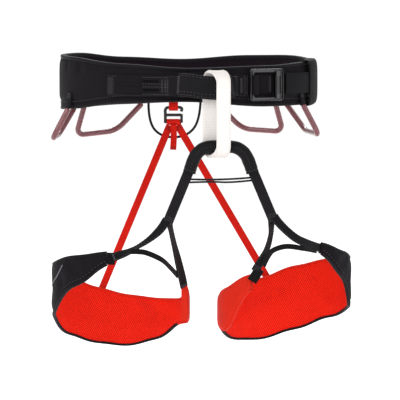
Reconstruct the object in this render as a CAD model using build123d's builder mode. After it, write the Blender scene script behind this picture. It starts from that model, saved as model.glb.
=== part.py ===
"""Climbing harness: padded waist belt, belay loop, leg loops, gear loops and rear risers.

Millimetres. +X is the wearer's left, +Y the wearer's back, +Z up. The origin is the centre of
the waist opening at the belt's mid height.
"""
import os
from math import cos, pi, radians, sin, tan

from build123d import *

# ------------------------------------------------------------------ driving dimensions, mm
belt_half_width = 148.0   # outer face of the waist belt, side to side
belt_half_depth = 100.0   # outer face of the waist belt, front to back
pad_thick = 9.0           # whole waist pad
skin_thick = 1.2          # woven shell and lining
binding_thick = 1.3       # tape over the pad's edges
leg_pad_thick = 7.0       # whole leg-loop pad
leg_skin_thick = 1.0      # leg shell and mesh
ply_gap = 0.15            # air between two sewn plies
fit_gap = 0.3             # air between pieces of different bodies
webbing_thick = 2.2       # flat structural webbing
webbing_low = -13.5       # lower edge of the front webbing
webbing_high = 12.0       # upper edge of the front webbing

left_leg = ((-77.0, -5.0), (81.0, 70.0))     # centre and radii of the pad's outer face
right_leg = ((115.5, -5.0), (78.5, 70.0))
left_leg_span = (-14.0, 259.0)               # from the inner thigh round the back, degrees
right_leg_span = (-56.0, 238.0)              # from the outer end round the back

belay_front_x = 43.6      # middle of the belay loop's front strand
belay_back_x = 27.5       # middle of its back strand
belay_stand = 18.0        # plane between its strands, in front of the belt
belay_y = -belt_half_depth - belay_stand
belay_width = 16.4
belay_thick = 4.0
belay_half_gap = 10.0     # inside of the loop, strand to strand, halved

tie_in_thick = 3.0        # folded webbing of the upper tie-in loop
sleeve_thick = 6.0        # the same with its sleeve on
sleeve_top = 13.0
sleeve_bottom = -14.0
sleeve_wall = 1.2

lower_sleeve_d = 15.5     # padded sleeve of the lower tie-in loop
lower_sleeve_wall = 2.5
lower_sleeve_z = -70.0    # its crown
lower_end_z = -100.0      # its two ends
lower_left_x = 4.0
lower_right_x = 77.0

gear_tube_d = 6.5
gear_core_d = 3.0
gear_drop = 36.0          # how far a gear loop reaches from its two anchors
gear_tilt = 27.0          # how far it leans out from plumb, degrees
gear_tab_width = 9.0

haul_cord_d = 3.0
crotch_cord_d = 2.0
riser_width = 8.5
riser_thick = 1.6
leg_strap_width = 12.0
branch_width = 10.0
arch_width = 5.3
hook_bar_d = 4.0
buckle_width = 44.0
buckle_height = 37.0

band_step = 4.0           # angle between a band's sections, degrees; every span is a multiple

os.makedirs("parts", exist_ok=True)


# ------------------------------------------------------------------ helpers
def keep(piece, label):
    """Name a finished piece and write its STEP file."""
    piece.part.label = label
    export_step(piece.part, f"parts/{label}.step")


def eased(stations, angle, column):
    """Read one column of a station list at an angle, eased between its two neighbours."""
    for near, far in zip(stations, stations[1:]):
        if angle <= far[0]:
            share = max(0.0, (angle - near[0]) / (far[0] - near[0]))
            share = share * share * (3 - 2 * share)
            return near[column] + share * (far[column] - near[column])
    return stations[-1][column]


def oval_point(centre, radii, angle, offset=0.0):
    """Give a point beside an oval, its outward normal and its tangent, in plan."""
    c, s = cos(radians(angle)), sin(radians(angle))
    normal = Vector(radii[1] * c, radii[0] * s, 0).normalized()
    point = Vector(centre[0] + radii[0] * c, centre[1] + radii[1] * s, 0) + normal * offset
    return point, normal, Vector(-normal.Y, normal.X, 0)


def band(oval, angles, inside, outside, low, high, step=band_step, mode=Mode.ADD):
    """Loft a standing band round an oval; low and high give its edges at an angle."""
    sections = []
    for k in range(round((angles[1] - angles[0]) / step) + 1):
        angle = angles[0] + step * k
        point, normal, tangent = oval_point(*oval, angle, (inside + outside) / 2)
        bottom, top = low(angle), high(angle)
        place = Plane(point + Vector(0, 0, (bottom + top) / 2), x_dir=normal, z_dir=-tangent)
        with BuildSketch(place) as section:
            Rectangle(outside - inside, top - bottom)
        sections.append(section.sketch)
    loft(sections, ruled=True, mode=mode)


def strap(points, width, thick, facing, radii=None):
    """Sweep flat webbing along a route; facing is where its flat side looks at the start."""
    with BuildLine() as route:
        if radii is None:
            Polyline(*points)
        else:
            FilletPolyline(*points, radius=radii)
    along = route.line % 0
    across = along.cross(Vector(*facing)).normalized()
    with BuildSketch(Plane(Vector(*points[0]), x_dir=across, z_dir=along)) as section:
        Rectangle(width, thick)
    sweep(section.sketch, path=route.line)


def arc_radii(points):
    """Give each corner of a route the largest arc that its two runs allow."""
    found = []
    for before, corner, after in zip(points, points[1:], points[2:]):
        run_in, run_out = Vector(*corner) - Vector(*before), Vector(*after) - Vector(*corner)
        half_turn = radians(run_in.get_angle(run_out)) / 2
        found.append(0.45 * min(run_in.length, run_out.length) / tan(half_turn))
    return found


def cord(points, diameter):
    """Sweep a round cord along straight runs joined by tangent arcs, and print what it is."""
    radii = arc_radii(points)
    with BuildLine() as route:
        FilletPolyline(*points, radius=radii)
    with BuildSketch(Plane(Vector(*points[0]), z_dir=route.line % 0)) as section:
        Circle(diameter / 2)
    made = sweep(section.sketch, path=route.line)
    length = sum(edge.length for edge in route.edges())
    share = made.volume / (pi * diameter**2 / 4 * length)
    print("cord length", round(length, 1), "radii", [round(r, 1) for r in radii],
          "volume share", round(share, 4))


# ------------------------------------------------------------------ waist belt
belt = ((0.0, 0.0), (belt_half_width, belt_half_depth))
# angle round the belt (0 at +X, 90 at the back), top edge, bottom edge
belt_edges = (
    (-48.0, 21.0, -24.5), (-19.0, 24.0, -24.0), (0.0, 26.0, -21.5), (35.0, 29.0, -26.0),
    (60.0, 28.0, -27.0), (92.0, 22.8, -26.0), (120.0, 26.0, -28.0), (150.0, 32.0, -30.5),
    (180.0, 31.6, -30.5), (205.0, 30.0, -28.5), (240.0, 23.4, -20.5), (270.0, 18.7, -18.4),
    (308.0, 21.0, -24.5),
)
belt_span = (-48.0, 308.0)  # open behind the buckle
foam_out = -skin_thick - ply_gap
foam_in = -pad_thick + skin_thick + ply_gap


def belt_top(angle):
    """Top edge of the waist pad."""
    return eased(belt_edges, angle, 1)


def belt_bottom(angle):
    """Bottom edge of the waist pad."""
    return eased(belt_edges, angle, 2)


with BuildPart() as waist_foam:
    band(belt, belt_span, foam_in, foam_out, belt_bottom, belt_top)
keep(waist_foam, "waist_foam")

with BuildPart() as waist_shell:
    band(belt, belt_span, -skin_thick, 0, belt_bottom, belt_top)
keep(waist_shell, "waist_shell")

with BuildPart() as waist_lining:
    band(belt, belt_span, -pad_thick, skin_thick - pad_thick, belt_bottom, belt_top)
keep(waist_lining, "waist_lining")

with BuildPart() as waist_binding:
    band(belt, belt_span, -pad_thick, 0, lambda a: belt_top(a) + ply_gap,
         lambda a: belt_top(a) + binding_thick)
    band(belt, belt_span, -pad_thick, 0, lambda a: belt_bottom(a) - binding_thick,
         lambda a: belt_bottom(a) - ply_gap)
keep(waist_binding, "waist_binding")

# ------------------------------------------------------------------ front webbing, strap, keeper
webbing_in = 0.2
webbing_out = webbing_in + webbing_thick
with BuildPart() as front_webbing:
    band(belt, (232.0, 300.0), webbing_in, webbing_out, lambda a: webbing_low,
         lambda a: webbing_high)
keep(front_webbing, "front_webbing")

strap_high = 13.0
strap_low = -11.0
with BuildPart() as waist_strap:
    band(belt, (-56.0, -12.0), webbing_in, webbing_out, lambda a: strap_low,
         lambda a: strap_high)
keep(waist_strap, "waist_strap")

tail_in = webbing_out + ply_gap
tail_out = tail_in + webbing_thick
with BuildPart() as strap_tail:
    band(belt, (-40.0, -4.0), tail_in, tail_out, lambda a: strap_low, lambda a: strap_high)
keep(strap_tail, "strap_tail")

keeper_span = (-20.0, -4.0)
keeper_wall = 1.2
keeper_in = -pad_thick - ply_gap
keeper_out = tail_out + ply_gap
keeper_edge = binding_thick + ply_gap
with BuildPart() as strap_keeper:
    band(belt, keeper_span, keeper_in - keeper_wall, keeper_out + keeper_wall,
         lambda a: belt_bottom(a) - keeper_edge - keeper_wall,
         lambda a: belt_top(a) + keeper_edge + keeper_wall)
    band(belt, keeper_span, keeper_in, keeper_out, lambda a: belt_bottom(a) - keeper_edge,
         lambda a: belt_top(a) + keeper_edge, mode=Mode.SUBTRACT)
keep(strap_keeper, "strap_keeper")

# ------------------------------------------------------------------ upper tie-in loop
tie_left_x = -13.0
tie_right_x = 58.0
sleeve_end_gap = 4.0
tie_inset = 2.4           # webbing edge below the sleeve's edge
seat_offset = webbing_out + 0.6 + tie_in_thick / 2


def belt_seat(angle):
    """Point in plan where the folded webbing lies flat on the front webbing."""
    point = oval_point(*belt, angle, seat_offset)[0]
    return (point.X, point.Y)


with BuildPart() as tie_in_webbing:
    with BuildSketch(Plane.XY.offset(sleeve_bottom + tie_inset)):
        with BuildLine():
            FilletPolyline(belt_seat(250), belt_seat(257), (tie_left_x, belay_y),
                           (tie_right_x, belay_y), belt_seat(292), belt_seat(296.5), radius=4.5)
        trace(line_width=tie_in_thick)
    extrude(amount=sleeve_top - sleeve_bottom - 2 * tie_inset)
keep(tie_in_webbing, "tie_in_webbing")

sleeve_length = tie_right_x - tie_left_x - 2 * sleeve_end_gap
sleeve_middle = Vector((tie_left_x + tie_right_x) / 2, belay_y, (sleeve_top + sleeve_bottom) / 2)
with BuildPart() as tie_in_sleeve:
    with BuildSketch(Plane(sleeve_middle, x_dir=(0, 1, 0), z_dir=(1, 0, 0))):
        RectangleRounded(sleeve_thick, sleeve_top - sleeve_bottom, sleeve_thick / 2.2)
        RectangleRounded(sleeve_thick - 2 * sleeve_wall,
                         sleeve_top - sleeve_bottom - 2 * sleeve_wall,
                         (sleeve_thick - 2 * sleeve_wall) / 2.5, mode=Mode.SUBTRACT)
    extrude(amount=sleeve_length / 2, both=True)
keep(tie_in_sleeve, "tie_in_sleeve")

# ------------------------------------------------------------------ belay loop
top_clearance = 0.9       # loop above the upper sleeve
bottom_clearance = 1.0    # loop below the lower sleeve
belay_inner_top = sleeve_top + top_clearance
belay_inner_bottom = lower_sleeve_z - lower_sleeve_d / 2 - bottom_clearance
belay_inner_height = belay_inner_top - belay_inner_bottom
belay_middle = Vector(0, belay_y, (belay_inner_top + belay_inner_bottom) / 2)
belay_low_x = belay_back_x - belay_width / 2
belay_high_x = belay_front_x + belay_width / 2
near_y = belay_y - belay_half_gap
far_y = belay_y + belay_half_gap
skew_plan = (
    (belay_front_x - belay_width / 2, near_y - belay_thick - 1),
    (belay_high_x, near_y - belay_thick - 1), (belay_high_x, near_y + 1),
    (belay_back_x + belay_width / 2, far_y - 1),
    (belay_back_x + belay_width / 2, far_y + belay_thick + 1),
    (belay_low_x, far_y + belay_thick + 1), (belay_low_x, far_y - 1),
    (belay_front_x - belay_width / 2, near_y + 1),
)
with BuildPart() as belay_loop:
    with BuildSketch(Plane(belay_middle + Vector(belay_low_x, 0, 0), x_dir=(0, 0, 1),
                           z_dir=(1, 0, 0))):
        SlotOverall(belay_inner_height + 2 * belay_thick, 2 * (belay_half_gap + belay_thick))
        SlotOverall(belay_inner_height, 2 * belay_half_gap, mode=Mode.SUBTRACT)
    extrude(amount=belay_high_x - belay_low_x)
    with BuildSketch(Plane.XY.offset(belay_inner_bottom - 2 * belay_thick)):
        with BuildLine():
            Polyline(*skew_plan, close=True)
        make_face()
    extrude(amount=belay_inner_height + 4 * belay_thick, mode=Mode.INTERSECT)
keep(belay_loop, "belay_loop")

# ------------------------------------------------------------------ waist buckle
buckle_angle = -52.0
buckle_stand = 3.0        # back of the frame above the belt's outer face
frame_thick = 3.6
buckle_corner = 6.0
window_left = 9.5 - buckle_width / 2
window_right = buckle_width / 2 - 4.0
window_height = buckle_height - 12.0
slider_bar = 7.0
slide_room = 1.1          # from the slider to the window's end
slider_x = window_right - slider_bar / 2 - slide_room
buckle_seat, buckle_normal, buckle_along = oval_point(*belt, buckle_angle, buckle_stand)
buckle_plane = Plane(buckle_seat, x_dir=buckle_along, z_dir=buckle_normal)

with BuildPart() as buckle_frame:
    with BuildSketch(buckle_plane):
        RectangleRounded(buckle_width, buckle_height, buckle_corner)
        with Locations(((window_left + window_right) / 2, 0)):
            Rectangle(window_right - window_left, window_height, mode=Mode.SUBTRACT)
    extrude(amount=frame_thick)
    rim = buckle_frame.faces().sort_by(Axis(buckle_seat, buckle_normal))[-1]
    fillet(rim.edges(), radius=0.9)
keep(buckle_frame, "buckle_frame")

lug_thick = 1.8
lug_height = 4.0
with BuildPart() as buckle_slider:
    with BuildSketch(buckle_plane.offset(fit_gap)):
        with Locations((slider_x, 0)):
            Rectangle(slider_bar, window_height - 2 * fit_gap)
    extrude(amount=frame_thick + lug_thick)
    with BuildSketch(buckle_plane.offset(frame_thick + fit_gap)):
        with Locations((slider_x, 0)):
            Rectangle(slider_bar, window_height + 2 * lug_height)
    extrude(amount=lug_thick)
keep(buckle_slider, "buckle_slider")

# ------------------------------------------------------------------ gear loops
# name, angle of the front anchor, angle of the rear anchor
gear_loops = (("front_left", 204.0, 151.0), ("rear_left", 143.0, 111.0),
              ("rear_right", 45.5, 75.5), ("front_right", -24.5, 38.0))
gear_offset = gear_tube_d / 2 + 0.35
gear_below = 3.2          # anchor line below the pad's lower edge
gear_tab_thick = 3.4
gear_tab_high = -11.0


def gear_anchor(angle):
    """Where a gear loop's end hangs, beside the belt's lower edge."""
    point = oval_point(*belt, angle, gear_offset)[0]
    return point + Vector(0, 0, belt_bottom(angle % 360 if angle > 0 else angle) - gear_below)


def gear_plane(front, rear):
    """Plane of a gear loop: x along its anchors, y up, leaning out from plumb."""
    along = (rear - front).normalized()
    middle = (front + rear) / 2
    outward = Vector(along.Y, -along.X, 0).normalized()
    if outward.dot(Vector(middle.X, middle.Y, 0)) < 0:
        outward = outward * -1
    tilt = radians(gear_tilt)
    up = Vector(0, 0, cos(tilt)) - outward * sin(tilt)
    return Plane(front, x_dir=along, z_dir=along.cross(up))


for name, front_angle, rear_angle in gear_loops:
    front, rear = gear_anchor(front_angle), gear_anchor(rear_angle)
    chord = (rear - front).length
    route_points = ((0, 0), (-3, -gear_drop), (chord * 0.66, -gear_drop + 3), (chord, 0))
    place = gear_plane(front, rear)
    with BuildPart() as gear_tube:
        with BuildLine(place) as route:
            FilletPolyline(*route_points, radius=[9, 26])
        with BuildSketch(Plane(front, z_dir=route.line % 0)) as section:
            Circle(gear_tube_d / 2)
            Circle(gear_core_d / 2 + ply_gap, mode=Mode.SUBTRACT)
        sweep(section.sketch, path=route.line)
        with Locations(front, rear):
            Sphere(gear_tube_d / 2)
        with BuildSketch(Plane(front, z_dir=route.line % 0)) as section:
            Circle(gear_core_d / 2 + ply_gap)
        sweep(section.sketch, path=route.line, mode=Mode.SUBTRACT)
    keep(gear_tube, f"gear_tube_{name}")
    with BuildPart() as gear_core:
        with BuildSketch(Plane(front, z_dir=route.line % 0)) as section:
            Circle(gear_core_d / 2)
        sweep(section.sketch, path=route.line)
    keep(gear_core, f"gear_core_{name}")

with BuildPart() as gear_tabs:
    for name, front_angle, rear_angle in gear_loops:
        for angle in (front_angle, rear_angle):
            anchor = gear_anchor(angle)
            seat, normal, along = oval_point(*belt, angle, webbing_in)
            low = anchor.Z + gear_tube_d / 2 + fit_gap
            with BuildSketch(Plane((seat.X, seat.Y, low), x_dir=along, z_dir=(0, 0, 1))):
                with Locations((0, -gear_tab_thick / 2)):
                    Rectangle(gear_tab_width, gear_tab_thick)
            extrude(amount=gear_tab_high - low)
keep(gear_tabs, "gear_tabs")

# ------------------------------------------------------------------ rear riser anchor and hook
rear_x = -15.0
anchor_stand = 4.2        # hook's bars behind the belt
anchor_y = belt_half_depth + anchor_stand
anchor_bar_z = -34.0
anchor_width = 11.0
anchor_wall = 1.5
anchor_ring_in = hook_bar_d / 2 + fit_gap
anchor_ring_out = anchor_ring_in + anchor_wall
anchor_top_z = -14.0
lower_bar_z = -51.0
hook_half_width = 8.2
hook_side = 3.0
hook_thick = 3.6


def across_ring(x, y, z, half_length, outer, inner):
    """Ring whose axis lies along X."""
    with BuildSketch(Plane((x, y, z), x_dir=(0, 1, 0), z_dir=(1, 0, 0))) as section:
        Circle(outer)
        if inner:
            Circle(inner, mode=Mode.SUBTRACT)
    extrude(section.sketch, amount=half_length, both=True)


with BuildPart() as riser_anchor:
    across_ring(rear_x, anchor_y, anchor_bar_z, anchor_width / 2, anchor_ring_out, anchor_ring_in)
    plate_y = anchor_y - anchor_ring_out + anchor_wall / 2
    with BuildSketch(Plane((rear_x, plate_y, anchor_bar_z))):
        Rectangle(anchor_width, anchor_wall)
    extrude(amount=anchor_top_z - anchor_bar_z)
    with BuildSketch(Plane((rear_x, anchor_y, anchor_bar_z), x_dir=(0, 1, 0),
                           z_dir=(1, 0, 0))) as hollow:
        Circle(anchor_ring_in)
    extrude(hollow.sketch, amount=anchor_width * 2, both=True, mode=Mode.SUBTRACT)
keep(riser_anchor, "riser_anchor")

with BuildPart() as riser_hook:
    for bar_z in (anchor_bar_z, lower_bar_z):
        across_ring(rear_x, anchor_y, bar_z, hook_half_width + hook_side, hook_bar_d / 2, 0)
    for side in (-1, 1):
        side_x = rear_x + side * (hook_half_width + hook_side / 2)
        with BuildSketch(Plane((side_x, anchor_y, lower_bar_z))):
            Rectangle(hook_side, hook_thick)
        extrude(amount=anchor_bar_z - lower_bar_z)
keep(riser_hook, "riser_hook")

wrap_in = hook_bar_d / 2 + ply_gap
wrap_out = wrap_in + riser_thick
wrap_half = hook_half_width - fit_gap
with BuildPart() as riser_wrap:
    across_ring(rear_x, anchor_y, lower_bar_z, wrap_half, wrap_out, wrap_in)
keep(riser_wrap, "riser_wrap")

riser_start_z = lower_bar_z - wrap_out - 2.2
# each riser ends just behind its leg pad: angle round the pad, stand-off, height
left_riser_foot = oval_point(*left_leg, 108.6, 2.75)[0] + Vector(0, 0, -255)
right_riser_foot = oval_point(*right_leg, 100.2, 2.15)[0] + Vector(0, 0, -240)
with BuildPart() as riser_left:
    strap(((rear_x - 4.6, anchor_y, riser_start_z), left_riser_foot), riser_width, riser_thick,
          (0, -1, 0))
keep(riser_left, "riser_left")
with BuildPart() as riser_right:
    strap(((rear_x + 4.6, anchor_y, riser_start_z), right_riser_foot), riser_width, riser_thick,
          (0, -1, 0))
keep(riser_right, "riser_right")

tail_length = 30.0
tail_width = 7.4
tail_forward = 3.6        # tail in front of the two risers
tail_y = anchor_y - tail_forward
with BuildPart() as riser_tail:
    with BuildSketch(Plane((rear_x, tail_y, lower_bar_z - wrap_out + 1.0))):
        Rectangle(tail_width, riser_thick)
    extrude(amount=-tail_length)
keep(riser_tail, "riser_tail")

# ------------------------------------------------------------------ haul loop
haul_stand = 7.5          # cord behind the belt
haul_y = belt_half_depth + haul_stand
haul_z = -27.0
haul_route = (
    (rear_x - 29.5, haul_y, haul_z), (rear_x - 29.8, haul_y + 0.8, haul_z - 24.0),
    (rear_x - 15.0, haul_y + 1.5, haul_z - 42.0), (rear_x + 14.0, haul_y + 1.5, haul_z - 42.5),
    (rear_x + 31.0, haul_y + 0.8, haul_z - 24.5), (rear_x + 32.0, haul_y, haul_z),
)
with BuildPart() as haul_loop:
    cord(haul_route, haul_cord_d)
    with Locations(haul_route[0], haul_route[-1]):
        Sphere(haul_cord_d / 2)
keep(haul_loop, "haul_loop")

haul_tab_high = 14.0
haul_tab_width = 5.0
with BuildPart() as haul_tabs:
    for end in (haul_route[0], haul_route[-1]):
        low = haul_z + haul_cord_d / 2 + fit_gap
        belt_back = belt_half_depth * (1 - (end[0] / belt_half_width) ** 2) ** 0.5
        depth = haul_y + haul_cord_d / 2 - belt_back
        with BuildSketch(Plane((end[0], belt_back + 1.0 + depth / 2, low))):
            Rectangle(haul_tab_width, depth)
        extrude(amount=haul_tab_high)
keep(haul_tabs, "haul_tabs")

# ------------------------------------------------------------------ lower tie-in loop
sleeve_route = (
    (lower_left_x, belay_y, lower_end_z), (lower_left_x + 10, belay_y, lower_sleeve_z),
    (lower_right_x - 10, belay_y, lower_sleeve_z), (lower_right_x, belay_y, lower_end_z),
)
with BuildPart() as lower_sleeve:
    with BuildLine() as route:
        FilletPolyline(*sleeve_route, radius=14)
    with BuildSketch(Plane(Vector(*sleeve_route[0]), z_dir=route.line % 0)) as section:
        Circle(lower_sleeve_d / 2)
        Circle(lower_sleeve_d / 2 - lower_sleeve_wall, mode=Mode.SUBTRACT)
    sweep(section.sketch, path=route.line)
keep(lower_sleeve, "lower_sleeve")

with BuildPart() as lower_webbing:
    with BuildSketch(Plane(Vector(*sleeve_route[0]), z_dir=route.line % 0)) as section:
        Circle(lower_sleeve_d / 2 - lower_sleeve_wall - ply_gap)
    sweep(section.sketch, path=route.line)
keep(lower_webbing, "lower_webbing")

# ------------------------------------------------------------------ leg risers and branches
left_split = (-21.3, belay_y + 11.3, -156.9)
right_split = (101.4, belay_y + 11.3, -152.9)


def pad_end(leg, angle, x, y, z):
    """Point beside the end of a leg pad, x and y away from the middle of its thickness."""
    point = oval_point(*leg, angle, -leg_pad_thick / 2)[0]
    return (point.X + x, point.Y + y, z)


for side, top_x, split in (("left", lower_left_x, left_split),
                           ("right", lower_right_x, right_split)):
    with BuildPart() as leg_riser:
        top = (top_x + (-0.6 if side == "left" else 0.6), belay_y, lower_end_z - 1.5)
        strap((top, split), leg_strap_width, webbing_thick, (0, -1, 0))
    keep(leg_riser, f"leg_riser_{side}")

def beside(point, x, y, z):
    """Point beside another one."""
    return (point[0] + x, point[1] + y, point[2] + z)


left_outer_end = pad_end(left_leg, left_leg_span[1], 10.88, -3.24, -199.5)
left_inner_end = pad_end(left_leg, left_leg_span[0], -0.33, -2.24, -237.0)
right_outer_end = pad_end(right_leg, right_leg_span[0], -3.79, -3.27, -189.3)
right_inner_end = pad_end(right_leg, right_leg_span[1], 8.4, -7.09, -212.0)
# name, points from the riser's foot to the pad, bend radius
branches = (
    ("left_outer", (beside(left_split, -2.7, -1.9, -2.1), beside(left_outer_end, 23.0, -23.5, 11.0),
                    left_outer_end), 40.0),
    ("left_inner", (beside(left_split, 3.0, 2.1, -2.0), left_inner_end), None),
    ("right_outer", (beside(right_split, 3.2, -1.9, -0.9),
                     beside(right_outer_end, -22.8, -33.7, 9.3), right_outer_end), 30.0),
    ("right_inner", (beside(right_split, -1.8, 2.3, -2.3),
                     beside(right_inner_end, 11.0, -17.6, 28.0), right_inner_end), 40.0),
)
for name, points, bend in branches:
    with BuildPart() as branch:
        strap(points, branch_width, webbing_thick, (0, -1, 0), radii=bend)
    keep(branch, f"branch_{name}")

arch_left = (
    beside(left_outer_end, 19.0, -26.1, 6.3), beside(left_outer_end, 35.0, -27.5, 5.5),
    beside(left_outer_end, 53.0, -16.5, -3.5), beside(left_inner_end, -14.4, -39.8, 22.0),
    beside(left_inner_end, -9.8, -18.8, 15.0),
)
arch_right = (
    beside(right_inner_end, 8.6, -5.6, 5.0), beside(right_inner_end, 17.0, -21.6, 20.0),
    beside(right_inner_end, 33.0, -30.6, 25.5), beside(right_outer_end, -15.8, -27.7, -0.2),
    beside(right_outer_end, -2.3, -6.5, -4.1),
)
for side, points in (("left", arch_left), ("right", arch_right)):
    with BuildPart() as arch:
        strap(points, arch_width, riser_thick, (0, -0.3, 1), radii=arc_radii(points))
    keep(arch, f"arch_{side}")

cord_y = belay_y + 2.0
cord_spread = 0.4         # how far the risers part for each millimetre down
for name, drop in (("upper", 0.0), ("lower", 3.2)):
    with BuildPart() as crotch_cord:
        cord(((lower_left_x + 4.3 - drop * cord_spread, cord_y, -108.0 - drop),
              (42.0, cord_y + 0.4, -109.0 - drop),
              (lower_right_x - 4.3 + drop * cord_spread, cord_y, -106.0 - drop)), crotch_cord_d)
    keep(crotch_cord, f"crotch_cord_{name}")

# ------------------------------------------------------------------ leg loops
# angle, top edge, bottom edge
left_leg_edges = (
    (-14.0, -234.0, -280.0), (0.0, -246.0, -281.0), (28.0, -256.0, -284.0),
    (56.0, -257.0, -304.0), (84.0, -253.5, -313.0), (112.0, -244.0, -309.0),
    (140.0, -230.0, -298.0), (180.0, -212.0, -272.0), (232.0, -200.0, -234.0),
    (259.0, -195.0, -210.0),
)
right_leg_edges = (
    (-56.0, -185.0, -198.0), (-28.0, -196.0, -226.0), (0.0, -205.0, -262.0),
    (48.0, -210.0, -278.0), (80.0, -219.0, -293.0), (112.0, -234.0, -305.0),
    (140.0, -243.0, -304.0), (180.0, -249.0, -286.0), (204.0, -240.0, -290.0),
    (238.0, -222.0, -239.0),
)
leg_step = 7.0
leg_shell_in = -leg_skin_thick
leg_foam_out = leg_shell_in - ply_gap
leg_foam_in = -leg_pad_thick + leg_skin_thick + ply_gap
legs = (
    ("left", left_leg, left_leg_edges, left_leg_span, (left_leg_span[0], 28.0)),
    ("right", right_leg, right_leg_edges, right_leg_span, (168.0, right_leg_span[1])),
)
for side, oval, edges, span, tab_span in legs:
    def leg_top(angle, edges=edges):
        """Top edge of this leg's pad."""
        return eased(edges, angle, 1)

    def leg_bottom(angle, edges=edges):
        """Bottom edge of this leg's pad."""
        return eased(edges, angle, 2)

    with BuildPart() as leg_foam:
        band(oval, span, leg_foam_in, leg_foam_out, leg_bottom, leg_top, leg_step)
    keep(leg_foam, f"leg_foam_{side}")
    with BuildPart() as leg_shell:
        band(oval, span, leg_shell_in, 0, leg_bottom, leg_top, leg_step)
    keep(leg_shell, f"leg_shell_{side}")
    with BuildPart() as leg_mesh:
        band(oval, span, -leg_pad_thick, leg_skin_thick - leg_pad_thick, leg_bottom, leg_top,
             leg_step)
    keep(leg_mesh, f"leg_mesh_{side}")
    with BuildPart() as leg_binding:
        band(oval, span, -leg_pad_thick, 0, lambda a: leg_top(a) + ply_gap,
             lambda a: leg_top(a) + binding_thick, leg_step)
        band(oval, span, -leg_pad_thick, 0, lambda a: leg_bottom(a) - binding_thick,
             lambda a: leg_bottom(a) - ply_gap, leg_step)
    keep(leg_binding, f"leg_binding_{side}")
    with BuildPart() as inner_tab:
        band(oval, tab_span, ply_gap, ply_gap + leg_skin_thick, leg_bottom, leg_top, leg_step)
    keep(inner_tab, f"inner_tab_{side}")

# ------------------------------------------------------------------ ends of the leg loops
keeper_gap = 0.4
end_blocks = (
    # name, oval, angle, way out of the pad's end, middle height, length, thickness, height
    ("leg_keeper_left", left_leg, left_leg_span[1], 1, -202.5, 9.0, 4.0, 14.0),
    ("leg_keeper_right", right_leg, right_leg_span[1], 1, -222.0, 12.0, 4.0, 17.0),
    ("leg_end_bar", right_leg, right_leg_span[0], -1, -191.5, 3.0, 4.0, 11.0),
)
for name, oval, angle, way, middle_z, length, thick, height in end_blocks:
    point, normal, along = oval_point(*oval, angle, -leg_pad_thick / 2)
    out = along * way
    centre = point + out * (keeper_gap + length / 2) + Vector(0, 0, middle_z - height / 2)
    with BuildPart() as end_block:
        with BuildSketch(Plane(centre, x_dir=out, z_dir=(0, 0, 1))):
            RectangleRounded(length, thick, 1.2)
        extrude(amount=height)
    keep(end_block, name)
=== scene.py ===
"""Looks of a climbing harness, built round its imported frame.

Metres, in the frame's own axes: +X is the wearer's left, +Y the wearer's back, +Z up.
"""
import logging
import math
from dataclasses import dataclass
from enum import Enum
from typing import Callable, Iterable, Sequence

import bpy
import numpy as np
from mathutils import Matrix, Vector


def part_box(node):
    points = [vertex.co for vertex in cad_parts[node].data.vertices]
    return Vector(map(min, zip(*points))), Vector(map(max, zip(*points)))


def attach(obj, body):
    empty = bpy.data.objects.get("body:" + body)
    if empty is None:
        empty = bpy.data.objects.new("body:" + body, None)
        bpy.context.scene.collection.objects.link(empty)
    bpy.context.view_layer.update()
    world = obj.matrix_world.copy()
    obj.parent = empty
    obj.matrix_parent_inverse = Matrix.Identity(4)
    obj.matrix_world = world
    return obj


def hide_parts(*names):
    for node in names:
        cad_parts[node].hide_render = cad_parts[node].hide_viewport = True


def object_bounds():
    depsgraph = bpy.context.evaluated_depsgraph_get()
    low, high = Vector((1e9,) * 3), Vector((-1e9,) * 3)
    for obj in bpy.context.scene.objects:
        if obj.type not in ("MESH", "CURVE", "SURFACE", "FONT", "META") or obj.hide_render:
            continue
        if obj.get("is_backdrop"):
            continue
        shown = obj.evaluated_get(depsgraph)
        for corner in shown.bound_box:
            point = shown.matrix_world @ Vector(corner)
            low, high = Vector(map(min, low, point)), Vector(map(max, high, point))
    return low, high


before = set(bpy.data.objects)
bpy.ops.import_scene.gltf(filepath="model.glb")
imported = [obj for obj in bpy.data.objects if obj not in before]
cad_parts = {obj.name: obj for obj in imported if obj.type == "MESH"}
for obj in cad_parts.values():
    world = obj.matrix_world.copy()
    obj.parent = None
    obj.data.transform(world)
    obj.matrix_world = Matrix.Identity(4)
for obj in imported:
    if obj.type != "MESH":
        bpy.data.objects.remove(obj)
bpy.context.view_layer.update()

LOG = logging.getLogger("harness")
MM = 0.001
WAVE_PERIOD = math.tau / 20  # one wave of Blender's wave texture at a scale of 1
PATCHES_PER_METRE = 28.0  # handling marks, a few centimetres across
PATCH_TINT = 0.16  # how far they shift the cloth's colour
PATCH_GLOSS = 0.08  # how far they shift its roughness
CLOTH_SPECULAR = 0.11  # yarn reflects far less than a smooth surface
Point = tuple[float, float, float]
Place = Callable[[float, float], Vector]
Stitch = tuple[Vector, Vector, Vector]  # where it lies, which way it runs, what it faces


# ---------------------------------------------------------------- node and colour helpers
def srgb(text: str) -> tuple[float, float, float, float]:
    """Turn an sRGB hex colour into linear values.

    Args:
        text: Six hex digits after a hash.

    Returns:
        Linear red, green, blue and an alpha of 1.
    """
    parts = [int(text[k:k + 2], 16) / 255 for k in (1, 3, 5)]
    linear = [p / 12.92 if p <= 0.04045 else ((p + 0.055) / 1.055) ** 2.4 for p in parts]
    return (*linear, 1.0)


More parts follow.
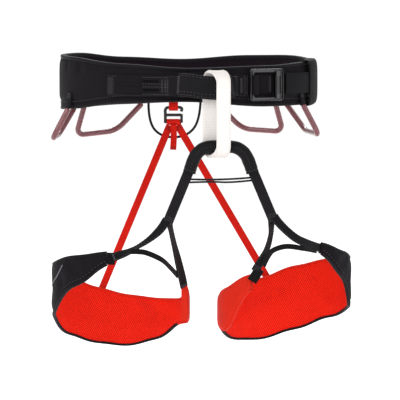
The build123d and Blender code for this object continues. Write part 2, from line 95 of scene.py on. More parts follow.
def add_node(tree: bpy.types.NodeTree, kind: str, inputs: dict | None = None,
             **settings: object) -> bpy.types.Node:
    """Add a node with its settings, values and links.

    Args:
        tree: The material's node tree.
        kind: The node's type.
        inputs: Values, or sockets to link from, by input name or number.
        settings: The node's own properties.

    Returns:
        The new node.
    """
    node = tree.nodes.new(kind)
    for name, value in settings.items():
        setattr(node, name, value)
    for key, value in (inputs or {}).items():
        if isinstance(value, bpy.types.NodeSocket):
            tree.links.new(value, node.inputs[key])
        else:
            node.inputs[key].default_value = value
    return node


class Slot(Enum):
    """The record's material slots that the pieces made here belong to."""

    SHELL = "shell_fabric"
    LINING = "lining_mesh"
    BINDING = "binding_tape"
    BLACK_WEBBING = "black_webbing"
    BLACK_ELASTIC = "black_elastic"
    SLEEVE = "sleeve_fabric"
    BELAY = "belay_webbing"
    METAL = "buckle_metal"
    PLASTIC = "hook_plastic"
    RISER = "riser_elastic"
    LEG_MESH = "leg_mesh"
    CORD = "black_cord"


# ---------------------------------------------------------------- finishes
@dataclass(frozen=True)
class Finish:
    """What every finish has.

    Attributes:
        name: The material's name.
        colour: Base colour, sRGB.
        shade: Colour in the hollows of its texture, sRGB.
        roughness: How matt it is.
        sheen: How much its nap catches the light.
        relief: Height of the texture, metres.
    """

    name: str
    colour: str
    shade: str
    roughness: float = 0.75
    sheen: float = 0.0
    relief: float = 0.0002

    def make(self) -> bpy.types.Material:
        """Make the material, with its pattern as colour and bump."""
        material = bpy.data.materials.new(self.name)
        material.use_nodes = True
        tree = material.node_tree
        tree.nodes.clear()
        pattern = self.pattern(tree)
        patches = add_node(tree, "ShaderNodeTexNoise", {
            "Vector": add_node(tree, "ShaderNodeTexCoord").outputs["Object"],
            "Scale": PATCHES_PER_METRE, "Detail": 4.0, "Roughness": 0.6})
        # slow patches, as handling leaves them: they lighten and dull the cloth a little
        mottled = add_node(tree, "ShaderNodeMapRange", {
            "Value": patches.outputs["Fac"], "From Min": 0.3, "From Max": 0.7,
            "To Min": -PATCH_TINT, "To Max": PATCH_TINT})
        share = add_node(tree, "ShaderNodeMath", {0: pattern, 1: mottled.outputs["Result"]},
                         operation="ADD", use_clamp=True)
        colour = add_node(tree, "ShaderNodeMix", {
            0: share.outputs[0], 6: srgb(self.shade), 7: srgb(self.colour)}, data_type="RGBA")
        matt = add_node(tree, "ShaderNodeMapRange", {
            "Value": patches.outputs["Fac"], "To Min": self.roughness - PATCH_GLOSS,
            "To Max": min(1.0, self.roughness + PATCH_GLOSS)})
        bump = add_node(tree, "ShaderNodeBump", {
            "Height": pattern, "Distance": self.relief, "Strength": 0.9})
        shader = add_node(tree, "ShaderNodeBsdfPrincipled", {
            "Base Color": colour.outputs[2], "Roughness": matt.outputs["Result"],
            "Normal": bump.outputs["Normal"], "Sheen Weight": self.sheen,
            "Sheen Roughness": 0.45, "Specular IOR Level": CLOTH_SPECULAR})
        self.tune(shader)
        add_node(tree, "ShaderNodeOutputMaterial", {"Surface": shader.outputs[0]})
        return material

    def pattern(self, tree: bpy.types.NodeTree) -> bpy.types.NodeSocket:
        """Give the texture's height, 0 in the hollows to 1 on the yarn."""
        raise NotImplementedError

    def tune(self, shader: bpy.types.Node) -> None:
        """Set what this finish has of its own on the shader."""


def cloth_vector(tree: bpy.types.NodeTree, turn: float = 0.0) -> bpy.types.NodeSocket:
    """Give the cloth's own flat coordinates, metres, turned by an angle."""
    flat = add_node(tree, "ShaderNodeUVMap")
    return add_node(tree, "ShaderNodeMapping", {
        "Vector": flat.outputs["UV"], "Rotation": (0, 0, turn)}).outputs["Vector"]


def yarns(tree: bpy.types.NodeTree, vector: bpy.types.NodeSocket, pitch: float,
          direction: str) -> bpy.types.NodeSocket:
    """Give rows of round yarns.

    Args:
        tree: The node tree.
        vector: Flat cloth coordinates.
        pitch: Yarn to yarn, metres.
        direction: Axis that the rows follow one another along, X or Y.

    Returns:
        Height, 0 to 1.
    """
    wave = add_node(tree, "ShaderNodeTexWave", {
        "Vector": vector, "Scale": WAVE_PERIOD / pitch, "Distortion": 0.6,
        "Detail": 1.0, "Detail Scale": 1.5}, wave_type="BANDS", bands_direction=direction)
    return wave.outputs["Fac"]


def blended(tree: bpy.types.NodeTree, a: bpy.types.NodeSocket, b: bpy.types.NodeSocket,
            operation: str) -> bpy.types.NodeSocket:
    """Join two heights by a Math operation."""
    return add_node(tree, "ShaderNodeMath", {0: a, 1: b}, operation=operation).outputs[0]


@dataclass(frozen=True)
class PlainWeave(Finish):
    """Plain-woven nylon pack cloth: a fine even grid of yarns, almost matt.

    The pitch is twice the real one, so that the grid isn't finer than the view can hold.

    Attributes:
        pitch: Yarn to yarn, metres.
    """

    pitch: float = 0.0011

    def pattern(self, tree: bpy.types.NodeTree) -> bpy.types.NodeSocket:
        """Weft over warp, as two crossed rows of yarns."""
        vector = cloth_vector(tree)
        return blended(tree, yarns(tree, vector, self.pitch, "X"),
                       yarns(tree, vector, self.pitch, "Y"), "MAXIMUM")


@dataclass(frozen=True)
class FlatWebbing(Finish):
    """Shuttle-woven polyamide webbing: close ribs across it, with fine lengthwise warps.

    Attributes:
        rib: Rib to rib, metres.
        warp: Warp to warp, metres.
    """

    rib: float = 0.0016
    warp: float = 0.0022

    def pattern(self, tree: bpy.types.NodeTree) -> bpy.types.NodeSocket:
        """Ribs across, broken by the warps."""
        vector = cloth_vector(tree)
        ribs = yarns(tree, vector, self.rib, "X")
        return blended(tree, ribs, yarns(tree, vector, self.warp, "Y"), "MULTIPLY")


@dataclass(frozen=True)
class TwillWebbing(Finish):
    """Tubular webbing woven on the diagonal: a lozenge grain that sparkles a little.

    Attributes:
        pitch: Yarn to yarn, metres.
    """

    pitch: float = 0.0024

    def pattern(self, tree: bpy.types.NodeTree) -> bpy.types.NodeSocket:
        """Two diagonal rows of yarns."""
        vector = cloth_vector(tree, math.radians(45))
        return blended(tree, yarns(tree, vector, self.pitch, "X"),
                       yarns(tree, vector, self.pitch, "Y"), "MULTIPLY")


@dataclass(frozen=True)
class SpacerMesh(Finish):
    """Knitted spacer mesh: small holes in diagonal rows, with the lit yarn between them.

    The holes are 2.2 mm apart where the real ones are about 1.5, to stay visible.

    Attributes:
        pitch: Hole to hole, metres.
        hole: How much of the pitch a hole and its rim take.
    """

    pitch: float = 0.0022
    hole: float = 0.42

    def pattern(self, tree: bpy.types.NodeTree) -> bpy.types.NodeSocket:
        """Round hollows on a lattice turned by 30 degrees."""
        cells = add_node(tree, "ShaderNodeTexVoronoi", {
            "Vector": cloth_vector(tree, math.radians(30)), "Scale": 1 / self.pitch,
            "Randomness": 0.12}, feature="F1", voronoi_dimensions="2D")
        return add_node(tree, "ShaderNodeMapRange", {
            "Value": cells.outputs["Distance"], "From Min": self.hole * 0.45,
            "From Max": self.hole}, interpolation_type="SMOOTHSTEP").outputs["Result"]


@dataclass(frozen=True)
class BraidedCord(Finish):
    """Braided accessory cord: strands that cross round it, slightly waxy.

    Attributes:
        strand: Strand to strand, metres.
    """

    strand: float = 0.0012

    def pattern(self, tree: bpy.types.NodeTree) -> bpy.types.NodeSocket:
        """Crossed strands in the cord's own place."""
        place = add_node(tree, "ShaderNodeTexCoord").outputs["Object"]
        turned = add_node(tree, "ShaderNodeMapping", {
            "Vector": place, "Rotation": (0.0, math.radians(45), 0.0)}).outputs["Vector"]
        return blended(tree, yarns(tree, turned, self.strand, "X"),
                       yarns(tree, turned, self.strand, "Z"), "MAXIMUM")


@dataclass(frozen=True)
class Moulded(Finish):
    """Moulded or tumbled hard material: a fine even grain, worn smoother in patches.

    Attributes:
        metallic: 1 for metal.
        coat: Clear layer over it, as anodising gives.
        grain: Size of the grain, metres.
        transmission: How much light passes through.
    """

    metallic: float = 0.0
    coat: float = 0.0
    grain: float = 0.0008
    transmission: float = 0.0

    def pattern(self, tree: bpy.types.NodeTree) -> bpy.types.NodeSocket:
        """Fine noise in the piece's own place."""
        place = add_node(tree, "ShaderNodeTexCoord").outputs["Object"]
        noise = add_node(tree, "ShaderNodeTexNoise", {
            "Vector": place, "Scale": 1 / self.grain, "Detail": 3.0})
        return noise.outputs["Fac"]

    def tune(self, shader: bpy.types.Node) -> None:
        """Set metal, coat and transmission."""
        shader.inputs["Metallic"].default_value = self.metallic
        shader.inputs["Coat Weight"].default_value = self.coat
        shader.inputs["Coat Roughness"].default_value = 0.12
        shader.inputs["Transmission Weight"].default_value = self.transmission
        shader.inputs["IOR"].default_value = 1.46
        shader.inputs["Specular IOR Level"].default_value = 0.5


# belt and leg shells: black pack cloth, matt, so the pads read by their soft outline
SHELL_CLOTH = PlainWeave("black_pack_cloth", "#110d12", "#080609", 0.72, 0.02, 0.00018)
# inside of the belt: a duller, coarser knit that tells the lining from the shell
PURPLE_LINING = PlainWeave("dark_lining_knit", "#120811", "#080408", 0.85, 0.04, 0.0002, 0.0016)
# edges of the pads: a lighter ribbed line that draws the contour
BINDING_TAPE = FlatWebbing("black_grosgrain_binding", "#1a161b", "#0c0a0d", 0.62, 0.06, 0.0002,
                           0.0013, 0.004)
# straps and tabs: flat ribs across a black strap, with a faint gloss
BLACK_WEBBING = FlatWebbing("black_flat_webbing", "#110e12", "#070508", 0.64, 0.03, 0.00016,
                            0.0011, 0.0018)
# keeper and leg arches: deeper ribs and less gloss than the webbing
BLACK_ELASTIC = FlatWebbing("black_ribbed_elastic", "#141015", "#080609", 0.75, 0.05, 0.0003,
                            0.0012, 0.0018)
# leg risers: a greyer diagonal grain that stands out from the straps below
LEG_WEBBING = TwillWebbing("black_tubular_webbing", "#242025", "#070508", 0.62, 0.06, 0.0004)
# both tie-in sleeves: smooth close cloth, the glossiest of the blacks
SLEEVE_CLOTH = PlainWeave("black_ripstop_sleeve", "#0f0d10", "#070607", 0.5, 0.03, 0.00015)
# belay loop: the one white piece, its ribs only just darker than the yarn
WHITE_WEBBING = FlatWebbing("white_belay_webbing", "#e3dfdc", "#d6d1cd", 0.7, 0.05, 0.00015,
                            0.0014, 0.0024)
# rear risers: bright red ribs
RED_ELASTIC = FlatWebbing("red_ribbed_elastic", "#ec220c", "#b00e05", 0.62, 0.0, 0.0003,
                          0.0012, 0.0019)
# inside of the leg loops: rows of small dark holes in bright red
RED_MESH = SpacerMesh("red_spacer_mesh", "#f2230b", "#a80802", 0.65, 0.0, 0.0005)
# inner-thigh tabs and red edges: a closer, darker red than the mesh
RED_CLOTH = PlainWeave("red_pack_cloth", "#d4250f", "#a01206", 0.58, 0.0, 0.0002)
# haul and crotch cords: crossed strands, slightly waxy
BLACK_CORD = BraidedCord("black_braided_cord", "#1c191c", "#0a080a", 0.55, 0.05, 0.0002)
# buckle: the sharpest highlights on the harness
BLACK_METAL = Moulded("black_anodised_alloy", "#1b1a1d", "#111013", 0.26, 0.0, 0.00002, 0.9, 0.6)
# release hook: a broad soft shine, duller than the buckle
BLACK_PLASTIC = Moulded("black_moulded_nylon", "#151416", "#0c0b0d", 0.4, 0.0, 0.00004)
# gear-loop tubes: half clear, tinted by the cord that shows through
SMOKY_TUBE = Moulded("smoky_mauve_tube", "#9a5a5f", "#7c444b", 0.28, 0.0, 0.00002, 0.0, 0.25,
                     0.004, 0.5)
# cord in the tubes: a dark red line inside the tint
RED_CORE = BraidedCord("red_core_cord", "#7c1219", "#4a070d", 0.6, 0.0, 0.0002)
# stitches on black: dots one step lighter than the cloth
GREY_THREAD = Moulded("charcoal_thread", "#39353b", "#242126", 0.6, 0.1, 0.0001, 0, 0, 0.0004)
# stitches on the belay loop: seen by their relief alone
WHITE_THREAD = Moulded("white_thread", "#dfd9d4", "#bdb6b0", 0.6, 0.0, 0.0001, 0, 0, 0.0004)
# stitches on the risers: dark bars across the red
RED_THREAD = Moulded("red_thread", "#8c0c07", "#5e0604", 0.6, 0.0, 0.0001, 0, 0, 0.0004)
# piping on a leg shell: a thin pale line over the black
GREY_PIPING = FlatWebbing("grey_piping_tape", "#8b868d", "#6a656c", 0.6, 0.05, 0.0001, 0.0012,
                          0.002)
# painted shade of the webbing's slots: nearly black strips that stand for the shadow inside the
# openings
PAINTED_SLOT_SHADE = PlainWeave("painted_slot_shade", "#040305", "#020102", 0.95, 0.0, 0.0001)


class Workshop:
    """Makes each finish once and hands finished pieces over to the frame."""

    def __init__(self) -> None:
        """Start with no material made."""
        self.made: dict[str, bpy.types.Material] = {}

    def material(self, finish: Finish) -> bpy.types.Material:
        """Give a finish's material, made on first use."""
        if finish.name not in self.made:
            self.made[finish.name] = finish.make()
        return self.made[finish.name]

    def hand_over(self, piece: bpy.types.Object, finish: Finish, slot: Slot, body: str,
                  *nodes: str) -> bpy.types.Object:
        """Dress a piece, let it ride on its body and stand for its frame nodes.

        Args:
            piece: The finished piece.
            finish: What it is made of.
            slot: The record's slot; not used.
            body: The body that it moves with.
            nodes: Frame nodes that it stands for.

        Returns:
            The same piece.
        """
        piece.data.materials.clear()
        piece.data.materials.append(self.material(finish))
        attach(piece, body)
        if nodes:
            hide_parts(*nodes)
        LOG.info("%s: %s on %s", piece.name, finish.name, body)
        return piece

    def refinish(self, node: str, finish: Finish) -> None:
        """Give a frame node that stays a better material."""
        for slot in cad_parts[node].material_slots:
            slot.material = self.material(finish)
        LOG.info("%s: refinished as %s", node, finish.name)


SHOP = Workshop()


# ---------------------------------------------------------------- modelling helpers
def select_only(piece: bpy.types.Object) -> None:
    """Leave one object selected and active."""
    bpy.ops.object.select_all(action="DESELECT")
    piece.select_set(True)
    bpy.context.view_layer.objects.active = piece


def apply_modifier(piece: bpy.types.Object, kind: str, **settings: object) -> None:
    """Add a modifier with its settings and apply it.

    Args:
        piece: The piece.
        kind: The modifier's type.
        settings: Its properties.
    """
    modifier = piece.modifiers.new(kind, kind)
    for name, value in settings.items():
        setattr(modifier, name, value)
    select_only(piece)
    bpy.ops.object.modifier_apply(modifier=modifier.name)


def close_up(piece: bpy.types.Object, merge: float = 1e-6, fill: bool = True) -> None:
    """Merge doubles, fill what is open and turn the faces outwards.

    Args:
        piece: The piece.
        merge: Distance under which two points are one, metres; 0 merges none.
        fill: Whether holes are filled.
    """
    select_only(piece)
    bpy.ops.object.mode_set(mode="EDIT")
    bpy.ops.mesh.select_all(action="SELECT")
    if merge:
        bpy.ops.mesh.remove_doubles(threshold=merge)
    if fill:
        bpy.ops.mesh.fill_holes(sides=0)
    bpy.ops.mesh.normals_make_consistent(inside=False)
    bpy.ops.object.mode_set(mode="OBJECT")


def pick(piece: bpy.types.Object, test: Callable[[object], bool], edges: bool = False) -> None:
    """Go into edit mode with only the faces, or the edges, that pass a test selected.

    Args:
        piece: The piece.
        test: Says of a face, or of an edge, whether it is picked.
        edges: Whether edges are picked.
    """
    select_only(piece)
    bpy.ops.object.mode_set(mode="EDIT")
    bpy.ops.mesh.select_mode(type="EDGE" if edges else "FACE")
    bpy.ops.mesh.select_all(action="DESELECT")
    bpy.ops.object.mode_set(mode="OBJECT")
    for item in piece.data.edges if edges else piece.data.polygons:
        item.select = test(item)
    bpy.ops.object.mode_set(mode="EDIT")


def smooth(piece: bpy.types.Object, angle: float = 50.0) -> None:
    """Shade smooth, but not over edges sharper than an angle in degrees."""
    select_only(piece)
    bpy.ops.object.shade_smooth_by_angle(angle=math.radians(angle))


def laid_grid(name: str, columns: int, rows: int, place: Place,
              flat: Callable[[float, float], tuple[float, float]]) -> bpy.types.Object:
    """Add a grid and lay it over a surface.

    Args:
        name: The piece's name.
        columns: Faces along it.
        rows: Faces across it.
        place: Where a share of its length and of its width lies.
        flat: The cloth coordinates of the same shares, metres.

    Returns:
        The piece, still open.
    """
    bpy.ops.object.select_all(action="DESELECT")
    bpy.ops.mesh.primitive_grid_add(x_subdivisions=columns, y_subdivisions=rows, size=2)
    piece = bpy.context.active_object
    piece.name = piece.data.name = name
    mesh = piece.data
    shares = [((v.co.x + 1) / 2, (v.co.y + 1) / 2) for v in mesh.vertices]
    layer = mesh.uv_layers.active
    for loop in mesh.loops:
        layer.data[loop.index].uv = flat(*shares[loop.vertex_index])
    for polygon in mesh.polygons:  # 0 on the first half of its width, 1 on the second
        across = sum(shares[k][1] for k in polygon.vertices) / len(polygon.vertices)
        polygon.material_index = 0 if across < 0.5 else 1
    for vertex, share in zip(mesh.vertices, shares):
        vertex.co = place(*share)
    return piece


def millimetres(points: Iterable[Point]) -> list[Vector]:
    """Turn points in millimetres into vectors in metres."""
    return [Vector(point) * MM for point in points]


def along(values: Sequence[Vector], share: float, closed: bool) -> Vector:
    """Read a smooth line through values at a share of its length.

    Args:
        values: The values, one for each control point.
        share: 0 at the start, 1 at the end.
        closed: Whether the last value is followed by the first.

    Returns:
        The value there, on a Catmull-Rom curve.
    """
    count = len(values)
    spans = count if closed else count - 1
    place = min(share * spans, spans - 1e-6)
    first, t = int(place), place - int(place)
    near = [(first + k) % count if closed else min(max(first + k, 0), count - 1)
            for k in (-1, 0, 1, 2)]
    a, b, c, d = (values[k] for k in near)
    return 0.5 * (2 * b + (c - a) * t + (2 * a - 5 * b + 4 * c - d) * t**2
                  + (3 * b - a - 3 * c + d) * t**3)


@dataclass
class Sweep:
    """A soft or hard strip: one closed section carried along a smooth route.

    Attributes:
        name: The piece's name.
        route: Points that it runs through, metres.
        facing: Where its flat side looks, one for all or one for each point.
        half_width: Half its width across the route, metres.
        half_thick: Half its thickness, metres.
        power: Squareness of its section: 2 is an ellipse, 6 has rounded corners.
        closed: Whether its ends meet.
        swell: Factors on its width and thickness at a share of its length.
        step: Length of one face along it, metres.
        rows: Faces round its section.
    """

    name: str
    route: Sequence[Vector]
    facing: Sequence[Vector]
    half_width: float
    half_thick: float
    power: float = 6.0
    closed: bool = False
    swell: Callable[[float], tuple[float, float]] = lambda share: (1.0, 1.0)
    step: float = 0.0025
    rows: int = 24

    def frame_at(self, share: float) -> tuple[Vector, Vector, Vector, Vector]:
        """Give the point, tangent, side and normal at a share of the length."""
        facings = self.facing if len(self.facing) > 1 else [self.facing[0]] * len(self.route)
        nudge = 1e-3
        low, high = share - nudge, share + nudge
        if self.closed:
            low, high = low % 1, high % 1
        else:
            low, high = max(low, 0.0), min(high, 1.0)
        tangent = (along(self.route, high, self.closed)
                   - along(self.route, low, self.closed)).normalized()
        side = tangent.cross(along(facings, share, self.closed)).normalized()
        return along(self.route, share, self.closed), tangent, side, side.cross(tangent)

    def length(self) -> float:
        """Length of the route, metres."""
        points = [along(self.route, k / 200, self.closed) for k in range(201)]
        return sum((b - a).length for a, b in zip(points, points[1:]))

    def section(self, around: float) -> tuple[float, float]:
        """Give the section's point at a share of the way round, in half sizes."""
        turn = math.tau * around
        c, s = math.cos(turn), math.sin(turn)
        reach = (abs(c) ** self.power + abs(s) ** self.power) ** (-1 / self.power)
        return c * reach, s * reach

    def build(self) -> bpy.types.Object:
        """Make the strip, closed at both ends or into a ring."""
        length = self.length()
        columns = max(4, round(length / self.step))
        frames = [self.frame_at(k / columns) for k in range(columns + 1)]

        def place(share: float, around: float) -> Vector:
            """Give the surface's point at a share of the length and of the way round."""
            point, _, side, normal = frames[round(share * columns)]
            wide, thick = self.swell(share)
            x, y = self.section(around)
            return point + side * (x * self.half_width * wide) \
                + normal * (y * self.half_thick * thick)

        def flat(share: float, around: float) -> tuple[float, float]:
            """Give the cloth's own coordinates there, the back beside the front."""
            x, y = self.section(around)
            return share * length, x * self.half_width + (0.004 if y < 0 else 0.0)

        piece = laid_grid(self.name, columns, self.rows, place, flat)
        close_up(piece)
        smooth(piece)
        return piece

    def rail(self, across: float, lift: float = 1.0, start: float = 0.0, end: float = 1.0,
             step: float = 0.0036) -> list[Stitch]:
        """Give points on its face for a row of stitches.

        Args:
            across: Place across the face, -1 to 1 in half widths.
            lift: 1 on the outer face, -1 on the inner one.
            start: Share of the length where the row starts.
            end: Share where it ends.
            step: Stitch to stitch, metres.

        Returns:
            Point, direction and normal of each stitch.
        """
        count = max(1, int(self.length() * (end - start) / step))
        row = []
        for k in range(count):
            share = start + (end - start) * (k + 0.5) / count
            point, tangent, side, normal = self.frame_at(share)
            wide, thick = self.swell(share)
            row.append((point + side * (across * self.half_width * wide)
                        + normal * (lift * self.half_thick * thick), tangent, normal * lift))
        return row

    def bartack(self, share: float, wide: float = 0.75, bars: int = 5,
                pitch: float = 0.0016) -> list[Stitch]:
        """Give the stitches of a bartack: close short rows across its outer face.

        Args:
            share: Where its middle lies along the strip.
            wide: How much of the width it covers.
            bars: How many bars it has.
            pitch: Bar to bar, metres.

        Returns:
            Point, direction and normal of each stitch.
        """
        length, rows = self.length(), []
        for bar in range(bars):
            point, _, side, normal = self.frame_at(
                min(max(share + (bar - (bars - 1) / 2) * pitch / length, 0.0), 1.0))
            _, thick = self.swell(share)
            count = max(2, round(2 * self.half_width * wide / 0.0021))
            for k in range(count):
                across = (2 * (k + 0.5) / count - 1) * self.half_width * wide
                rows.append((point + side * across + normal * (self.half_thick * thick), side,
                             normal))
        return rows


def sewn(name: str, stitches: Sequence[Stitch], length: float = 0.0022,
         thick: float = 0.00055) -> bpy.types.Object:
    """Model one stitch and copy it to each place.

    Args:
        name: The piece's name.
        stitches: Point, direction and normal of each.
        length: Length of a stitch, metres.
        thick: Thickness of the thread, metres.

    Returns:
        One piece that holds them all.
    """
    bpy.ops.object.select_all(action="DESELECT")
    bpy.ops.mesh.primitive_cube_add(size=1)
    master = bpy.context.active_object
    bpy.ops.object.mode_set(mode="EDIT")
    bpy.ops.mesh.bevel(offset=0.3, segments=1, affect="EDGES")
    bpy.ops.object.mode_set(mode="OBJECT")
    shape = np.array([v.co for v in master.data.vertices])
    faces = [tuple(p.vertices) for p in master.data.polygons]
    points, polygons = [], []
    for place, direction, normal in stitches:
        side = direction.cross(normal).normalized()
        axes = np.array([direction.normalized() * length, side * thick, normal * thick])
        polygons += [tuple(i + len(points) for i in face) for face in faces]
        points += (shape @ axes + np.array(place)).tolist()
    mesh = bpy.data.meshes.new(name)
    mesh.from_pydata(points, [], polygons)
    piece = bpy.data.objects.new(name, mesh)
    bpy.context.collection.objects.link(piece)
    bpy.data.objects.remove(master)
    smooth(piece, 60)
    return piece


@dataclass(frozen=True)
class Oval:
    """The plan of a band: where it stands round the waist or a thigh.

    Attributes:
        centre: Middle, metres.
        radii: Half sizes of its outer face, metres.
    """

    centre: tuple[float, float]
    radii: tuple[float, float]

    @classmethod
    def of_node(cls, node: str, depth: float | None = None) -> "Oval":
        """Read an oval off a frame node.

        Args:
            node: The band's outer shell.
            depth: Half its depth, metres, where the band is open in front.

        Returns:
            The oval.
        """
        low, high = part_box(node)
        half = depth or (high.y - low.y) / 2
        return cls(((low.x + high.x) / 2, high.y - half), ((high.x - low.x) / 2, half))

    def at(self, angle: float, offset: float, height: float) -> Vector:
        """Point at an angle in degrees, beside the outer face, at a height."""
        turn = math.radians(angle)
        spot = Vector((self.centre[0] + self.radii[0] * math.cos(turn),
                       self.centre[1] + self.radii[1] * math.sin(turn), height))
        return spot + self.normal(angle) * offset

    def normal(self, angle: float) -> Vector:
        """Outward direction at an angle in degrees."""
        turn = math.radians(angle)
        return Vector((self.radii[1] * math.cos(turn), self.radii[0] * math.sin(turn),
                       0)).normalized()

    def arc(self, start: float, end: float) -> float:
        """Length of the outer face between two angles, metres."""
        steps = np.linspace(start, end, 181)
        spots = [self.at(angle, 0, 0) for angle in steps]
        return sum((b - a).length for a, b in zip(spots, spots[1:]))


class Edges:
    """Upper and lower edge of a band, read off its frame node."""

    def __init__(self, node: str, oval: Oval, start: float, step: float) -> None:
        """Gather the node's corners by their angle round the oval.

        Args:
            node: The frame node.
            oval: Its plan.
            start: Angle of the band's first section, degrees.
            step: Angle from one section to the next, degrees.
        """
        found: dict[int, list[float]] = {}
        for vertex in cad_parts[node].data.vertices:
            x = (vertex.co.x - oval.centre[0]) / oval.radii[0]
            y = (vertex.co.y - oval.centre[1]) / oval.radii[1]
            place = ((math.degrees(math.atan2(y, x)) - start + 2) % 360 - 2) / step
            if abs(place - round(place)) * step < 0.5:
                found.setdefault(round(place), []).append(vertex.co.z)
        sections = sorted(k for k, heights in found.items() if max(heights) - min(heights) > 5 * MM)
        stations = [start + k * step for k in sections]
        self.angles = np.arange(stations[0], stations[-1] + 0.5, 1.0)
        self.high = self.eased(stations, [max(found[k]) for k in sections], round(step * 1.9))
        self.low = self.eased(stations, [min(found[k]) for k in sections], round(step * 1.9))

    def eased(self, stations: Sequence[float], heights: Sequence[float],
              reach: int) -> np.ndarray:
        """Round off a line of heights as a cut edge of cloth is round.

        Args:
            stations: Angles of the sections, degrees.
            heights: The heights there, metres.
            reach: How far the rounding looks each way, degrees.

        Returns:
            A height for each degree from the first section to the last.
        """
        line = np.interp(self.angles, stations, heights)
        before = 2 * line[0] - line[reach:0:-1]
        after = 2 * line[-1] - line[-2:-reach - 2:-1]
        window = np.hanning(2 * reach + 3)[1:-1]
        return np.convolve(np.concatenate([before, line, after]), window / window.sum(), "valid")

    def top(self, angle: float) -> float:
        """Upper edge at an angle, metres."""
        return float(np.interp(angle, self.angles, self.high))

    def bottom(self, angle: float) -> float:
        """Lower edge at an angle, metres."""
        return float(np.interp(angle, self.angles, self.low))


@dataclass
class PadBand:
    """A foam pad that stands round an oval: a shell outside, a lining inside.

    The cover is sewn down at its edges and along one channel, and swells between those seams
    under pressure.

    Attributes:
        name: Start of its pieces' names.
        oval: Its plan.
        edges: Its upper and lower edge.
        span: Angles where it starts and ends, degrees.
        thick: Thickness of the whole pad, metres.
        seam: Row of the channel, counted from the lower edge.
        rows: Faces from edge to edge.
        step: Length of one face round the oval, metres.
        swelling: How far the cover may swell, metres.
        cover: Thickness of the shell and of the lining, metres.
    """

    name: str
    oval: Oval
    edges: Edges
    span: tuple[float, float]
    thick: float
    seam: int = 5
    rows: int = 20
    step: float = 0.0034
    swelling: float = 0.0009
    cover: float = 0.0008

    def section(self, around: float) -> tuple[float, float]:
        """Give height and thickness shares of the section at a share of the way round."""
        inside = around > 0.5
        row = 2 * (1 - around if inside else around)
        height = -math.cos(math.pi * row)
        bulge = max(0.0, 1 - abs(height) ** 5) ** 0.45
        gap = abs(row * self.rows - self.seam)
        channel = 1 - 0.38 * math.exp(-gap * gap / 0.45)
        return height, bulge * channel * (-1 if inside else 1)

    def build(self) -> tuple[bpy.types.Object, bpy.types.Object]:
        """Make the cover, let it swell, and part it into shell and lining.

        Returns:
            The shell and the lining.
        """
        start, end = self.span
        length = self.oval.arc(start, end)
        columns = round(length / self.step)
        half = self.thick / 2 - self.swelling

        def place(share: float, around: float) -> Vector:
            """Give the cover's point at a share of the length and of the way round."""
            angle = start + share * (end - start)
            low, high = self.edges.bottom(angle), self.edges.top(angle)
            height, side = self.section(around)
            taper = min(1.0, 0.35 + 14 * min(share, 1 - share))
            return self.oval.at(angle, half * side * taper - self.thick / 2,
                                (low + high) / 2 + height * (high - low) / 2)

        def flat(share: float, around: float) -> tuple[float, float]:
            """Give the cloth's own coordinates there, its height up the pad."""
            height, _ = self.section(around)
            angle = start + share * (end - start)
            low, high = self.edges.bottom(angle), self.edges.top(angle)
            return share * length, (low + high) / 2 + height * (high - low) / 2

        piece = laid_grid(f"{self.name}_cover", columns, 2 * self.rows, place, flat)
        close_up(piece, merge=1e-5, fill=False)
        self.face_out(piece)
        self.inflate(piece)
        apply_modifier(piece, "SUBSURF", levels=1, render_levels=1)
        return self.part(piece)

    def inflate(self, piece: bpy.types.Object) -> None:
        """Let the cover swell under pressure, held at its seams.

        Args:
            piece: The closed cover.
        """
        before = [vertex.co.copy() for vertex in piece.data.vertices]
        seams = piece.vertex_groups.new(name="seams")
        seams.add(self.sewn_points(piece), 1.0, "REPLACE")
        cloth = piece.modifiers.new("Cloth", "CLOTH")
        cloth.settings.quality = 4
        cloth.settings.mass = 0.25
        cloth.settings.use_pressure = True
        cloth.settings.uniform_pressure_force = 4.0
        cloth.settings.shrink_min = -0.015
        cloth.settings.tension_stiffness = cloth.settings.compression_stiffness = 12.0
        cloth.settings.bending_stiffness = 0.6
        cloth.settings.vertex_group_mass = seams.name
        cloth.settings.effector_weights.gravity = 0.0
        cloth.collision_settings.use_collision = False
        cloth.point_cache.frame_start, cloth.point_cache.frame_end = 1, 20
        for step in range(1, 21):
            bpy.context.scene.frame_set(step)
        select_only(piece)
        bpy.ops.object.modifier_apply(modifier=cloth.name)
        bpy.context.scene.frame_set(1)
        for vertex, rest in zip(piece.data.vertices, before):
            move = vertex.co - rest
            if move.length > self.swelling:
                vertex.co = rest + move * (self.swelling / move.length)
        LOG.info("%s swelled", piece.name)

    def face_out(self, piece: bpy.types.Object) -> None:
        """Turn the cover's faces round if its outer half looks inwards."""
        lean = 0.0
        for polygon in piece.data.polygons:
            if polygon.material_index == 0:
                out = polygon.center - Vector((*self.oval.centre, polygon.center.z))
                lean += polygon.normal.dot(out.normalized())
        if lean < 0:
            select_only(piece)
            bpy.ops.object.mode_set(mode="EDIT")
            bpy.ops.mesh.select_all(action="SELECT")
            bpy.ops.mesh.flip_normals()
            bpy.ops.object.mode_set(mode="OBJECT")

    def sewn_points(self, piece: bpy.types.Object) -> list[int]:
        """Find the points on the edges, on the channel and at both ends."""
        found = []
        start, end = self.span
        layer = piece.data.uv_layers.active.data
        length = self.oval.arc(start, end)
        share = (1 - math.cos(math.pi * self.seam / self.rows)) / 2
        for loop in piece.data.loops:
            u, height = layer[loop.index].uv
            angle = start + (end - start) * u / length
            low, high = self.edges.bottom(angle), self.edges.top(angle)
            level = (height - low) / (high - low)
            if (min(abs(level - share), level, 1 - level) < 0.012
                    or min(u, length - u) < self.step * 1.5):
                found.append(loop.vertex_index)
        return sorted(set(found))

